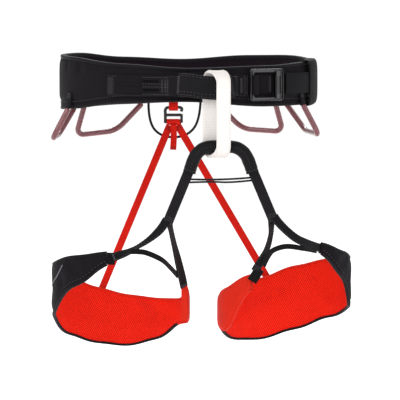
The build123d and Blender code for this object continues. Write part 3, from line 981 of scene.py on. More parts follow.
    def part(self, piece: bpy.types.Object) -> tuple[bpy.types.Object, bpy.types.Object]:
        """Cut the cover along its edges into shell and lining, and thicken both.

        Args:
            piece: The swelled cover.

        Returns:
            The shell and the lining.
        """
        piece.data.materials.append(bpy.data.materials.new("outer_half"))
        piece.data.materials.append(bpy.data.materials.new("inner_half"))
        select_only(piece)
        bpy.ops.object.mode_set(mode="EDIT")
        bpy.ops.mesh.select_all(action="SELECT")
        bpy.ops.mesh.separate(type="MATERIAL")
        bpy.ops.object.mode_set(mode="OBJECT")
        halves = list(bpy.context.selected_objects)
        halves.sort(key=lambda half: not half.data.materials[0].name.startswith("outer_half"))
        for half, ending in zip(halves, ("shell", "lining")):
            half.name = half.data.name = f"{self.name}_pad_{ending}"
            apply_modifier(half, "SOLIDIFY", thickness=self.cover, offset=-1.0)
            smooth(half, 60)
        return halves[0], halves[1]

    def edge_route(self, upper: bool, inset: float = 0.0) -> tuple[list[Vector], list[Vector]]:
        """Give the line of one edge, and where it faces.

        Args:
            upper: The upper edge, or else the lower one.
            inset: Distance into the pad from the edge, metres.

        Returns:
            Points and outward directions.
        """
        start, end = self.span
        count = max(8, round((end - start) / 4))
        angles = np.linspace(start, end, count + 1)
        points = []
        for angle in angles:
            height = self.edges.top(angle) - inset if upper else self.edges.bottom(angle) + inset
            points.append(self.oval.at(angle, -self.thick / 2, height))
        return points, [self.oval.normal(angle) for angle in angles]

    def binding(self, name: str, upper: bool, tall: float, thick: float) -> Sweep:
        """Give the tape folded over one edge.

        Args:
            name: The piece's name.
            upper: Which edge.
            tall: Height of the tape, metres.
            thick: Thickness over the folded edge, metres.

        Returns:
            The tape, to be built.
        """
        points, facing = self.edge_route(upper, tall / 2 - 0.0011)
        return Sweep(name, points, facing, tall / 2, thick / 2, power=3.2, step=0.003, rows=16)

    def seam_row(self, height: float, stand: float, step: float = 0.0036) -> list[Stitch]:
        """Give a row of stitches above the lower edge.

        Args:
            height: Height above the lower edge, metres.
            stand: How far outside the oval the thread lies, metres.
            step: Stitch to stitch, metres.

        Returns:
            The stitches.
        """
        start, end = self.span
        count = int(self.oval.arc(start, end) / step)
        row = []
        for k in range(count):
            angle = start + (end - start) * (k + 0.5) / count
            normal = self.oval.normal(angle)
            level = self.edges.bottom(angle) + height
            row.append((self.oval.at(angle, stand, level),
                        Vector((-normal.y, normal.x, 0)), normal))
        return row


# ---------------------------------------------------------------- waist belt
def oval_run(oval: Oval, angles: tuple[float, float], offset: float, height: float,
             points: int = 12) -> tuple[list[Vector], list[Vector]]:
    """Give a level line round an oval, and where it faces.

    Args:
        oval: The plan.
        angles: Start and end, degrees.
        offset: Distance outside the oval, metres.
        height: Height, metres.
        points: How many points.

    Returns:
        Points and outward directions.
    """
    turns = np.linspace(*angles, points)
    return [oval.at(a, offset, height) for a in turns], [oval.normal(a) for a in turns]


@dataclass
class WaistBelt:
    """The padded waist belt with its webbing, strap, keeper and stitching.

    Attributes:
        body: The body that it moves with.
        first_section: Angle of the frame shell's first section, degrees.
        section_step: Section to section, degrees.
        span: Angles where the pad starts and ends; they overlap behind the buckle.
        thick: Thickness of the pad, metres.
        webbing_thick: Thickness of the webbing and of the strap, metres.
        webbing_stand: Air between the pad and the webbing, metres.
        webbing_span: Angles of the front webbing, degrees.
        strap_span: Angles of the strap, degrees.
        tail_span: Angles of the strap's tail, degrees.
        keeper_span: Angles of the elastic keeper, degrees.
        keeper_wall: Thickness of the keeper, metres.
        keeper_reach: How far the keeper passes the belt's edges, metres.
        tape: Height and thickness of the edge binding, metres.
        seam: Height of the stitched channel over the lower edge and its stand-off, metres.
        ridge_span: Angles of the raised ridges on the front webbing, degrees.
        ridge_levels: Heights of the ridges from the webbing's middle, metres.
        bartacks: Shares of the front webbing's length where it is bartacked.
    """

    body: str = "waist_belt"
    first_section: float = -48.0
    section_step: float = 4.0
    span: tuple[float, float] = (-50.3, 310.3)
    thick: float = 0.009
    webbing_thick: float = 0.0022
    webbing_stand: float = 0.0002
    webbing_span: tuple[float, float] = (232.0, 300.0)
    strap_span: tuple[float, float] = (-56.0, -12.0)
    tail_span: tuple[float, float] = (-40.0, -4.0)
    keeper_span: tuple[float, float] = (-20.0, -4.0)
    keeper_wall: float = 0.0012
    keeper_reach: float = 0.0024
    tape: tuple[float, float] = (0.0042, 0.0064)
    seam: tuple[float, float] = (0.0072, -0.0008)
    ridge_span: tuple[float, float] = (238.0, 265.5)
    ridge_levels: tuple[float, ...] = (0.0105, 0.0032, -0.0018, -0.0100)
    bartacks: tuple[float, ...] = (0.04, 0.415, 0.45, 0.485, 0.95)

    def __post_init__(self) -> None:
        """Read the belt's plan and edges off the frame."""
        self.oval = Oval.of_node("waist_shell")
        self.edges = Edges("waist_shell", self.oval, self.first_section, self.section_step)
        self.pad = PadBand("waist", self.oval, self.edges, self.span, self.thick)

    def build(self) -> None:
        """Make and dress every piece of the belt."""
        shell, lining = self.pad.build()
        SHOP.hand_over(shell, SHELL_CLOTH, Slot.SHELL, self.body, "waist_shell", "waist_foam")
        SHOP.hand_over(lining, PURPLE_LINING, Slot.LINING, self.body, "waist_lining")
        for upper, ending in ((True, "upper"), (False, "lower")):
            tape = self.pad.binding(f"waist_binding_{ending}", upper, *self.tape).build()
            SHOP.hand_over(tape, BINDING_TAPE, Slot.BINDING, self.body, "waist_binding")
        self.front()
        self.keeper()
        self.stitching()

    def band(self, name: str, node: str, span: tuple[float, float], layer: int) -> Sweep:
        """Give webbing that lies round the belt, over a frame node's height.

        Args:
            name: The piece's name.
            node: The frame node whose height it has.
            span: Its angles, degrees.
            layer: 0 on the pad, 1 over another webbing.

        Returns:
            The webbing, to be built.
        """
        low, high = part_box(node)
        offset = self.webbing_stand + (layer + 0.5) * self.webbing_thick + layer * 0.00015
        points, facing = oval_run(self.oval, span, offset, (low.z + high.z) / 2)
        return Sweep(name, points, facing, (high.z - low.z) / 2, self.webbing_thick / 2,
                     power=7)

    def front(self) -> None:
        """Make the front webbing with its ridges, the strap and its tail."""
        webbing = self.band("front_panel_webbing", "front_webbing", self.webbing_span, 0)
        strap = self.band("waist_strap_webbing", "waist_strap", self.strap_span, 0)
        tail = self.band("waist_strap_tail", "strap_tail", self.tail_span, 1)
        for piece, node in ((webbing, "front_webbing"), (strap, "waist_strap"),
                            (tail, "strap_tail")):
            SHOP.hand_over(piece.build(), BLACK_WEBBING, Slot.BLACK_WEBBING, self.body, node)
        low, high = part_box("front_webbing")
        middle = (low.z + high.z) / 2
        for level in self.ridge_levels:
            points, facing = oval_run(self.oval, self.ridge_span,
                                      self.webbing_stand + self.webbing_thick,
                                      middle + level, 8)
            ridge = Sweep(f"webbing_ridge_{round(middle * 1e4 + level * 1e4)}", points, facing,
                          0.0010, 0.0006, power=2.4, rows=12)
            SHOP.hand_over(ridge.build(), BLACK_WEBBING, Slot.BLACK_WEBBING, self.body)
        self.webbing, self.strap, self.tail = webbing, strap, tail

    def keeper(self) -> None:
        """Make the wide elastic keeper that holds the strap's tail to the belt."""
        start, end = self.keeper_span
        outer = self.webbing_stand + 2 * self.webbing_thick + 0.0011
        inner = -self.thick - 0.0009
        half_deep, middle = (outer - inner) / 2, (outer + inner) / 2
        turns = 48

        def place(share: float, across: float) -> Vector:
            """Give the point at a share of the way round the belt's section."""
            angle = start + (end - start) * across
            low = self.edges.bottom(angle) - self.keeper_reach
            high = self.edges.top(angle) + self.keeper_reach
            turn = math.tau * share
            c, s = math.cos(turn), math.sin(turn)
            reach = (abs(c) ** 5 + abs(s) ** 5) ** -0.2
            return self.oval.at(angle, middle + half_deep * c * reach,
                                (low + high) / 2 + (high - low) / 2 * s * reach)

        wide = self.oval.arc(start, end)
        tall = self.edges.top(start) - self.edges.bottom(start)
        piece = laid_grid("strap_keeper_elastic", turns, 10, place,
                          lambda share, across: (2 * tall * share, wide * across))
        close_up(piece, merge=1e-5, fill=False)
        apply_modifier(piece, "SOLIDIFY", thickness=self.keeper_wall, offset=0.0)
        apply_modifier(piece, "SUBSURF", levels=1, render_levels=1)
        smooth(piece, 60)
        SHOP.hand_over(piece, BLACK_ELASTIC, Slot.BLACK_ELASTIC, self.body, "strap_keeper")

    def stitching(self) -> None:
        """Sew the channel, the webbing's edges and the bartacks."""
        row = self.pad.seam_row(*self.seam)
        for across in (-0.86, 0.86):
            row += self.webbing.rail(across, start=0.02, end=0.98)
        for share in self.bartacks:
            row += self.webbing.bartack(share)
        row += self.strap.bartack(0.12) + self.tail.bartack(0.9)
        piece = sewn("waist_stitching", row)
        SHOP.hand_over(piece, GREY_THREAD, Slot.SHELL, self.body)


# ---------------------------------------------------------------- belay loop and upper tie-in
@dataclass
class TieIn:
    """The upper tie-in loop: folded webbing in a sleeve, across the front of the belt.

    Attributes:
        body: The body that it moves with.
        half_thick: Half the sleeve's thickness, metres.
    """

    body: str = "waist_belt"
    half_thick: float = 0.003

    def build(self) -> None:
        """Make the webbing, its sleeve and the folded end."""
        low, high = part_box("tie_in_webbing")
        sleeve_low, sleeve_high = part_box("tie_in_sleeve")
        middle, tall = (low.z + high.z) / 2, (high.z - low.z) / 2
        y = (sleeve_low.y + sleeve_high.y) / 2
        points = [Vector((-0.0505, -0.0976, middle)), Vector((-0.036, -0.1012, middle)),
                  Vector((-0.024, -0.1095, middle)), Vector((-0.012, y, middle)),
                  Vector((0.022, y, middle)), Vector((0.054, y, middle)),
                  Vector((0.0572, -0.109, middle)), Vector((0.0590, -0.0975, middle)),
                  Vector((0.0655, -0.0935, middle))]
        facing = [Vector((-0.25, -1, 0)), Vector((-0.3, -1, 0)), Vector((-0.5, -1, 0)),
                  Vector((-0.1, -1, 0)), Vector((0, -1, 0)), Vector((0.35, -1, 0)),
                  Vector((1, -0.25, 0)), Vector((0.9, -0.4, 0)), Vector((0.4, -0.92, 0))]
        webbing = Sweep("tie_in_folded_webbing", points, facing, tall, 0.0015)
        SHOP.hand_over(webbing.build(), BLACK_WEBBING, Slot.BLACK_WEBBING, self.body,
                       "tie_in_webbing")
        # painted shade: near-black strips on the webbing's face stand for the shadow inside its two
        # slots
        for across, ending in ((0.46, "upper"), (-0.46, "lower")):
            frames = [webbing.frame_at(share) for share in (0.02, 0.06, 0.10, 0.14, 0.175)]
            slot = Sweep(f"webbing_slot_{ending}",
                         [point + side * across * tall + normal * 0.0015
                          for point, _, side, normal in frames],
                         [normal for _, _, _, normal in frames], 0.0013, 0.0006, power=3,
                         step=0.002, rows=12)
            SHOP.hand_over(slot.build(), PAINTED_SLOT_SHADE, Slot.BLACK_WEBBING, self.body)
        height = (sleeve_high.z - sleeve_low.z) / 2
        centre = (sleeve_low.z + sleeve_high.z) / 2

        def hem(share: float) -> tuple[float, float]:
            """Draw the sleeve in where its ends are hemmed."""
            edge = min(share, 1 - share)
            return 1 - 0.05 * math.exp(-edge * 40), 1 - 0.35 * math.exp(-edge * 26)

        sleeve = Sweep("tie_in_padded_sleeve",
                       [Vector((x, y + bow, centre + rise)) for x, bow, rise in (
                           (-0.0095, 0.0006, 0.0020), (0.004, -0.0004, 0.0010),
                           (0.022, -0.0002, -0.0014), (0.040, -0.0003, -0.0022),
                           (0.0545, 0.0004, 0.0002))],
                       [Vector((0, -1, 0))], height, self.half_thick, power=3.2, swell=hem,
                       rows=28)
        SHOP.hand_over(sleeve.build(), SLEEVE_CLOTH, Slot.SLEEVE, self.body, "tie_in_sleeve")
        row: list[Stitch] = []
        for across in (-0.82, 0.55, 0.82):
            row += sleeve.rail(across, start=0.03, end=0.97)
        for share in (0.03, 0.97):
            row += sleeve.bartack(share, bars=3)
        for share in (0.225, 0.265, 0.305):
            row += webbing.bartack(share, wide=0.7, bars=2)
        for across in (-0.88, -0.2, 0.12, 0.88):
            row += webbing.rail(across, start=0.01, end=0.32)
        row += webbing.bartack(0.96, bars=4)
        SHOP.hand_over(sewn("tie_in_stitching", row), GREY_THREAD, Slot.SLEEVE, self.body)


@dataclass
class BelayLoop:
    """The sewn loop of white webbing that joins the two tie-in loops.

    Attributes:
        body: The body that it moves with.
        thick: Thickness of its webbing, metres.
        width: Width of its webbing, metres.
    """

    body: str = "belay_loop"
    thick: float = 0.004
    width: float = 0.0164

    def build(self) -> None:
        """Make the loop and its bartacks."""
        low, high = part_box("belay_loop")
        half = self.thick / 2
        front, back = low.y + half, high.y - half
        near_x, far_x = high.x - self.width / 2, low.x + self.width / 2
        radius = (back - front) / 2
        mid_x, mid_y = (near_x + far_x) / 2, (front + back) / 2
        rise, drop = high.z - half - radius, low.z + half + radius
        points, facing = [], []
        for level in (-0.5, 0.0, 0.5):
            share = (level + 1) / 2
            points.append(Vector((near_x, front, drop + (rise - drop) * share)))
            facing.append(Vector((0, -1, 0)))
        for turn in range(0, 181, 30):
            points.append(self.arc_point(turn, mid_x, near_x, mid_y, radius, rise, 1))
            facing.append(self.arc_facing(turn, 1))
        for share in (0.75, 0.5, 0.25):
            points.append(Vector((far_x, back, drop + (rise - drop) * share)))
            facing.append(Vector((0, 1, 0)))
        for turn in range(180, -1, -30):
            points.append(self.arc_point(turn, mid_x, near_x, mid_y, radius, drop, -1))
            facing.append(self.arc_facing(turn, -1))
        loop = Sweep("belay_loop_webbing", points, facing, self.width / 2, half, power=5,
                     closed=True, step=0.0018, rows=28)
        SHOP.hand_over(loop.build(), WHITE_WEBBING, Slot.BELAY, self.body, "belay_loop")
        row: list[Stitch] = []
        for across in (-0.8, 0.8):
            row += loop.rail(across)
        for share in (0.50, 0.53, 0.56):
            row += loop.bartack(share, bars=4)
        SHOP.hand_over(sewn("belay_loop_stitching", row, thick=0.0004), WHITE_THREAD,
                       Slot.BELAY, self.body)

    @staticmethod
    def arc_point(turn: float, mid_x: float, near_x: float, mid_y: float, radius: float,
                  level: float, way: int) -> Vector:
        """Point on an end of the loop; turn runs from the front strand to the back one."""
        angle = math.radians(turn)
        return Vector((mid_x + (near_x - mid_x) * math.cos(angle),
                       mid_y - radius * math.cos(angle),
                       level + way * radius * math.sin(angle)))

    @staticmethod
    def arc_facing(turn: float, way: int) -> Vector:
        """Outward direction on an end of the loop."""
        angle = math.radians(turn)
        return Vector((0, -math.cos(angle), way * math.sin(angle)))


# ---------------------------------------------------------------- waist buckle
def joined(name: str, parts: Sequence[bpy.types.Object]) -> bpy.types.Object:
    """Join objects into one piece of a given name."""
    bpy.ops.object.select_all(action="DESELECT")
    for part in parts:
        part.select_set(True)
    bpy.context.view_layer.objects.active = parts[0]
    bpy.ops.object.join()
    parts[0].name = parts[0].data.name = name
    return parts[0]


@dataclass
class Buckle:
    """The slide buckle: a bowed ring, the webbing folded round one bar, and a roller.

    Attributes:
        oval: The belt's plan.
        angle: Where its middle is on the belt, degrees.
        stand: How far its back stands off the belt, metres.
        width: Its size along the belt, metres.
        height: Its size upwards, metres.
        thick: Thickness of the ring, metres.
        rail: Width of the ring's sides, metres.
        corner: Radius of its corners, metres.
        bow: How far its rails bow outwards, metres.
        roller_x: Where the roller rests, from the middle, metres.
        roller_height: Length of the roller between its lugs, metres.
    """

    oval: Oval
    angle: float = -52.0
    stand: float = 0.003
    width: float = 0.044
    height: float = 0.037
    thick: float = 0.0036
    rail: float = 0.0042
    corner: float = 0.006
    bow: float = 0.0022
    roller_x: float = 0.0134
    roller_height: float = 0.0244

    def spot(self, x: float, y: float, z: float) -> Vector:
        """Point in the buckle's own axes: along the belt, up, and outwards."""
        normal = self.oval.normal(self.angle)
        along_belt = Vector((-normal.y, normal.x, 0))
        return self.oval.at(self.angle, self.stand, 0) + along_belt * x \
            + Vector((0, 0, y)) + normal * z

    def stand_up(self, piece: bpy.types.Object) -> None:
        """Carry a piece made in the buckle's own axes to its place."""
        for vertex in piece.data.vertices:
            vertex.co = self.spot(*vertex.co)

    def ring(self) -> bpy.types.Object:
        """Make the ring: a block, inset and bridged, with rounded corners and bowed rails."""
        bpy.ops.object.select_all(action="DESELECT")
        bpy.ops.mesh.primitive_cube_add(size=1, location=(0, 0, self.thick / 2),
                                        scale=(self.width, self.height, self.thick))
        piece = bpy.context.active_object
        bpy.ops.object.transform_apply(location=True, rotation=False, scale=True)
        pick(piece, lambda face: abs(face.normal.z) > 0.5)
        bpy.ops.mesh.inset(thickness=self.rail)
        bpy.ops.mesh.bridge_edge_loops()
        bpy.ops.object.mode_set(mode="OBJECT")

        def upright(edge: bpy.types.MeshEdge) -> bool:
            """Say whether an edge stands up from the ring's face."""
            a, b = (piece.data.vertices[k].co for k in edge.vertices)
            return abs((a - b).normalized().z) > 0.9

        pick(piece, upright, edges=True)
        bpy.ops.mesh.bevel(offset=self.corner * 0.62, segments=6, affect="EDGES")
        bpy.ops.mesh.select_all(action="SELECT")
        bpy.ops.mesh.subdivide(number_cuts=1)
        bpy.ops.mesh.normals_make_consistent(inside=False)
        bpy.ops.object.mode_set(mode="OBJECT")
        for vertex in piece.data.vertices:
            share = vertex.co.x / (self.width / 2)
            vertex.co.z += self.bow * (1 - share * share)
        apply_modifier(piece, "BEVEL", width=0.0009, segments=3, angle_limit=math.radians(40))
        self.stand_up(piece)
        piece.name = piece.data.name = "buckle_ring"
        smooth(piece, 40)
        return piece

    def build(self) -> None:
        """Make the ring, the fold, the inner webbing and the roller."""
        SHOP.hand_over(self.ring(), BLACK_METAL, Slot.METAL, "waist_belt", "buckle_frame")
        normal = self.oval.normal(self.angle)
        fold = Sweep("buckle_webbing_fold",
                     [self.spot(-0.0158, y, 0.0024) for y in (-0.0115, -0.004, 0.004, 0.0115)],
                     [normal], 0.0042, 0.0046, power=2.3, step=0.002)
        SHOP.hand_over(fold.build(), BLACK_WEBBING, Slot.BLACK_WEBBING, "waist_belt")
        under = Sweep("buckle_inner_webbing",
                      [self.spot(x, 0.0005, -0.0006) for x in (-0.014, -0.008, -0.002, 0.0035)],
                      [normal], 0.0112, 0.0006, power=6)
        SHOP.hand_over(under.build(), SHELL_CLOTH, Slot.BLACK_WEBBING, "waist_belt")
        half = self.roller_height / 2
        bar = Sweep("roller_bar",
                    [self.spot(self.roller_x, y, 0.0032) for y in (-half, -half / 3, half / 3,
                                                                   half)],
                    [normal], 0.0036, 0.0029, power=2.3, step=0.0015).build()
        lugs = []
        for way in (-1, 1):
            lug = Sweep(f"roller_lug_{way}",
                        [self.spot(self.roller_x, way * y, 0.0062)
                         for y in (half - 0.002, half + 0.001, half + 0.0035)],
                        [normal], 0.0034, 0.0009, power=4, step=0.0015)
            lugs.append(lug.build())
        roller = joined("buckle_roller", [bar, *lugs])
        SHOP.hand_over(roller, BLACK_METAL, Slot.METAL, "buckle_slider", "buckle_slider")


# ---------------------------------------------------------------- gear loops
@dataclass
class GearLoops:
    """The four moulded gear loops: a clear tube over a cord, each hung from two tabs.

    Attributes:
        names: What the frame calls them.
        tab_half_width: Half a tab's width, metres.
        tab_half_thick: Half a tab's thickness, metres.
        tab_reach: Distance within which the frame's points are one tab's, metres.
    """

    names: tuple[str, ...] = ("front_left", "rear_left", "rear_right", "front_right")
    tab_half_width: float = 0.0045
    tab_half_thick: float = 0.0010
    tab_reach: float = 0.0115

    def build(self, oval: Oval) -> None:
        """Refinish the tubes and cores, and sew the tabs."""
        for name in self.names:
            SHOP.refinish(f"gear_tube_{name}", SMOKY_TUBE)
            SHOP.refinish(f"gear_core_{name}", RED_CORE)
        row: list[Stitch] = []
        for index, (low, high) in enumerate(self.tab_boxes()):
            middle = (low + high) / 2
            turn = math.degrees(math.atan2(middle.y / oval.radii[1], middle.x / oval.radii[0]))
            points = [oval.at(turn, stand, z) for stand, z in (
                (0.0002, high.z), (0.0006, (high.z * 2 + low.z) / 3),
                (0.0020, low.z + 0.004), (0.0030, low.z - 0.0012))]
            tab = Sweep(f"gear_tab_{index}", points, [oval.normal(turn)],
                        self.tab_half_width, self.tab_half_thick, power=6)
            SHOP.hand_over(tab.build(), BLACK_WEBBING, Slot.BLACK_WEBBING, "waist_belt",
                           "gear_tabs")
            row += tab.bartack(0.2, bars=4)
        SHOP.hand_over(sewn("gear_tab_stitching", row), GREY_THREAD, Slot.BLACK_WEBBING,
                       "waist_belt")

    def tab_boxes(self) -> list[tuple[Vector, Vector]]:
        """Find each tab's box: the frame node's points, gathered where they lie close."""
        spots = [vertex.co.copy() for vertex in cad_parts["gear_tabs"].data.vertices]
        groups: list[list[Vector]] = []
        for spot in spots:
            for group in groups:
                if (group[0].xy - spot.xy).length < self.tab_reach:
                    group.append(spot)
                    break
            else:
                groups.append([spot])
        return [(Vector([min(p[k] for p in g) for k in range(3)]),
                 Vector([max(p[k] for p in g) for k in range(3)])) for g in groups]


# ---------------------------------------------------------------- cords
@dataclass
class Cord:
    """A round cord on one smooth curve.

    Attributes:
        name: The piece's name.
        body: The body that it moves with.
        node: The frame node that it stands for.
        route: Control points, metres.
        diameter: Its diameter, metres.
        length: Its real length, metres; not used.
        lay: How it lies; not used.
    """

    name: str
    body: str
    node: str
    route: Sequence[Vector]
    diameter: float
    length: float
    lay: str

    def build(self) -> None:
        data = bpy.data.curves.new(self.name, "CURVE")
        data.dimensions = "3D"
        spline = data.splines.new("NURBS")
        spline.points.add(len(self.route) - 1)
        for point, spot in zip(spline.points, self.route):
            point.co = (*spot, 1.0)
        spline.order_u = 3
        spline.use_endpoint_u = True
        spline.resolution_u = 16
        data.bevel_depth = self.diameter / 2
        data.bevel_resolution = 4
        data.use_fill_caps = True
        piece = bpy.data.objects.new(self.name, data)
        bpy.context.collection.objects.link(piece)
        SHOP.hand_over(piece, BLACK_CORD, Slot.CORD, self.body, self.node)
        tuple(self.route[0])


HAUL_CORD_THICK = 0.003
CROTCH_CORD_THICK = 0.0023


def build_cords() -> None:
    """Make the haul loop and the two cords between the leg risers."""
    haul = millimetres(((-44.5, 107.5, -27.0), (-44.8, 108.3, -51.0), (-30.0, 109.0, -69.0),
                        (-1.0, 109.0, -69.5), (16.0, 108.3, -51.5), (17.0, 107.5, -27.0)))
    Cord("haul_loop_cord", "haul_loop", "haul_loop", haul, HAUL_CORD_THICK, 0.122,
         "hanging").build()
    upper = millimetres(((5.6, -115.6, -108.0), (42.0, -115.4, -109.2), (75.4, -115.6, -106.0)))
    lower = millimetres(((4.3, -115.6, -111.6), (30.0, -115.4, -110.6),
                         (52.0, -115.4, -112.0), (76.7, -115.6, -109.2)))
    for name, node, route, length in (("crotch_cord_a", "crotch_cord_upper", upper, 0.070),
                                      ("crotch_cord_b", "crotch_cord_lower", lower, 0.0725)):
        Cord(name, "leg_loops", node, route, CROTCH_CORD_THICK, length, "taut").build()


# ---------------------------------------------------------------- rear risers
@dataclass
class RearRisers:
    """The release hook behind the belt and the two elastic straps to the leg loops.

    Attributes:
        centre_x: Where the hook hangs, metres.
        bar: Half the thickness of the hook's bars, metres.
        strap_thick: Thickness of the elastic, metres.
    """

    centre_x: float = -0.015
    bar: float = 0.0018
    strap_thick: float = 0.0016

    def build(self) -> None:
        """Make the anchor, the hook, the straps and their tail."""
        low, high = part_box("riser_hook")
        y = (low.y + high.y) / 2
        self.anchor(y, high.z - 0.002)
        self.hook(low, high, y)
        wrap_low, wrap_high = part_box("riser_wrap")
        level = (wrap_low.z + wrap_high.z) / 2
        ring = [Vector((self.centre_x, y + 0.0030 * math.sin(t), level + 0.0030 * math.cos(t)))
                for t in np.linspace(0, math.tau, 13)[:-1]]
        facing = [(spot - Vector((self.centre_x, y, level))).normalized() for spot in ring]
        wrap = Sweep("riser_strap_wrap", ring, facing, (wrap_high.x - wrap_low.x) / 2,
                     0.0007, power=5, closed=True, step=0.001)
        SHOP.hand_over(wrap.build(), RED_ELASTIC, Slot.RISER, "rear_risers", "riser_wrap")
        row: list[Stitch] = []
        for side, way in (("left", -1), ("right", 1)):
            strap = self.strap(side, way)
            SHOP.hand_over(strap.build(), RED_ELASTIC, Slot.RISER, "rear_risers",
                           f"riser_{side}")
            row += strap.bartack(0.03, bars=4) + strap.bartack(0.97, bars=5)
        tail_low, tail_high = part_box("riser_tail")
        tail_y = (tail_low.y + tail_high.y) / 2
        points = [Vector((self.centre_x + dx, tail_y + dy, z)) for dx, dy, z in (
            (0.0, 0.0, tail_high.z), (0.0004, -0.0004, (tail_high.z + tail_low.z) / 2),
            (-0.0004, -0.0010, tail_low.z))]
        tail = Sweep("riser_strap_tail", points, [Vector((0.1, -1, 0))],
                     (tail_high.x - tail_low.x) / 2, self.strap_thick / 2)
        SHOP.hand_over(tail.build(), RED_ELASTIC, Slot.RISER, "rear_risers", "riser_tail")
        row += tail.bartack(0.9, bars=3)
        SHOP.hand_over(sewn("riser_stitching", row), RED_THREAD, Slot.RISER, "rear_risers")

    def strap(self, side: str, way: int) -> Sweep:
        """Give one riser strap, pulled straight from the wrap to its leg loop."""
        low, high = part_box(f"riser_{side}")
        half = 0.0039
        top = Vector((high.x - half if way < 0 else low.x + half, high.y - 0.0008, high.z))
        foot = Vector((low.x + half if way < 0 else high.x - half, low.y + 0.0008, low.z))
        points = [top.lerp(foot, share) for share in (0, 0.25, 0.5, 0.75, 1)]
        facing = [Vector((turn * way, -1, 0)) for turn in (0.0, 0.10, 0.06, 0.1, 0.12)]
        return Sweep(f"riser_strap_{side}", points, facing, 0.00425, self.strap_thick / 2,
                     power=6)

    def anchor(self, y: float, level: float) -> None:
        """Make the short loop of red webbing that holds the hook's upper bar."""
        low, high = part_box("riser_anchor")
        reach = 0.0031
        points = [Vector((self.centre_x, low.y + 0.0009, high.z)),
                  Vector((self.centre_x, low.y + 0.0009, (high.z + level) / 2 + 0.004)),
                  Vector((self.centre_x, y - reach, level + 0.0008)),
                  Vector((self.centre_x, y - 0.0006, level - reach)),
                  Vector((self.centre_x, y + reach, level + 0.0004)),
                  Vector((self.centre_x, y + 0.0008, level + reach + 0.0004))]
        facing = [Vector(f) for f in ((0, -1, 0), (0, -1, 0), (0, -1, -0.1), (0, -0.1, -1),
                                      (0, 1, 0), (0, 0.3, 1))]
        loop = Sweep("riser_anchor_loop", points, facing, (high.x - low.x) / 2, 0.0007, power=5,
                     step=0.0012)
        SHOP.hand_over(loop.build(), RED_ELASTIC, Slot.RISER, "waist_belt", "riser_anchor")

    def hook(self, low: Vector, high: Vector, y: float) -> None:
        """Make the hook: a bent bar with an open nose, and two cross bars."""
        left, right = low.x + 0.0016, high.x - 0.0016
        top, foot = high.z - 0.002, low.z + 0.002
        middle = (top + foot) / 2
        nose = [Vector((right + dx, y, z)) for dx, z in (
            (-0.0006, top - 0.0046), (0.0004, top - 0.0016), (-0.0022, top + 0.0003))]
        bend = [Vector((self.centre_x, y, top + 0.0002)), Vector((left + 0.0026, y, top)),
                Vector((left, y, top - 0.0028)), Vector((left, y, middle)),
                Vector((left, y, foot - 0.0012))]
        parts = [Sweep("hook_bend", nose + bend, [Vector((0, -1, 0))], self.bar, self.bar,
                       power=3.5, step=0.0012, rows=16).build()]
        for level in (middle - 0.0002, foot):
            parts.append(Sweep("hook_bar", [Vector((left, y, level)),
                                            Vector((self.centre_x, y, level)),
                                            Vector((right, y, level))],
                               [Vector((0, -1, 0))], self.bar, self.bar, power=3.5,
                               step=0.002, rows=16).build())
        parts.append(Sweep("hook_post", [Vector((right, y, middle + 0.0008)),
                                         Vector((right, y, (middle + foot) / 2)),
                                         Vector((right, y, foot - 0.0008))],
                           [Vector((0, -1, 0))], self.bar * 0.9, self.bar, power=3.5,
                           step=0.002, rows=16).build())
        SHOP.hand_over(joined("riser_release_hook", parts), BLACK_PLASTIC, Slot.PLASTIC,
                       "rear_risers", "riser_hook")


# ---------------------------------------------------------------- haul tabs
def build_haul_tabs() -> None:
    """Make the two short tabs that hold the haul loop's ends."""
    low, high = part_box("haul_tabs")
    for index, x in enumerate((low.x + 0.0025, high.x - 0.0025)):
        points = [Vector((x, high.y - 0.0022, high.z)),
                  Vector((x, high.y - 0.0019, (low.z + high.z) / 2)),
                  Vector((x, high.y - 0.0016, low.z - 0.0015))]
        tab = Sweep(f"haul_tab_{index}", points, [Vector((0, 1, 0))], 0.0027, 0.0014, power=4)
        SHOP.hand_over(tab.build(), BLACK_WEBBING, Slot.BLACK_WEBBING, "waist_belt",
                       "haul_tabs")


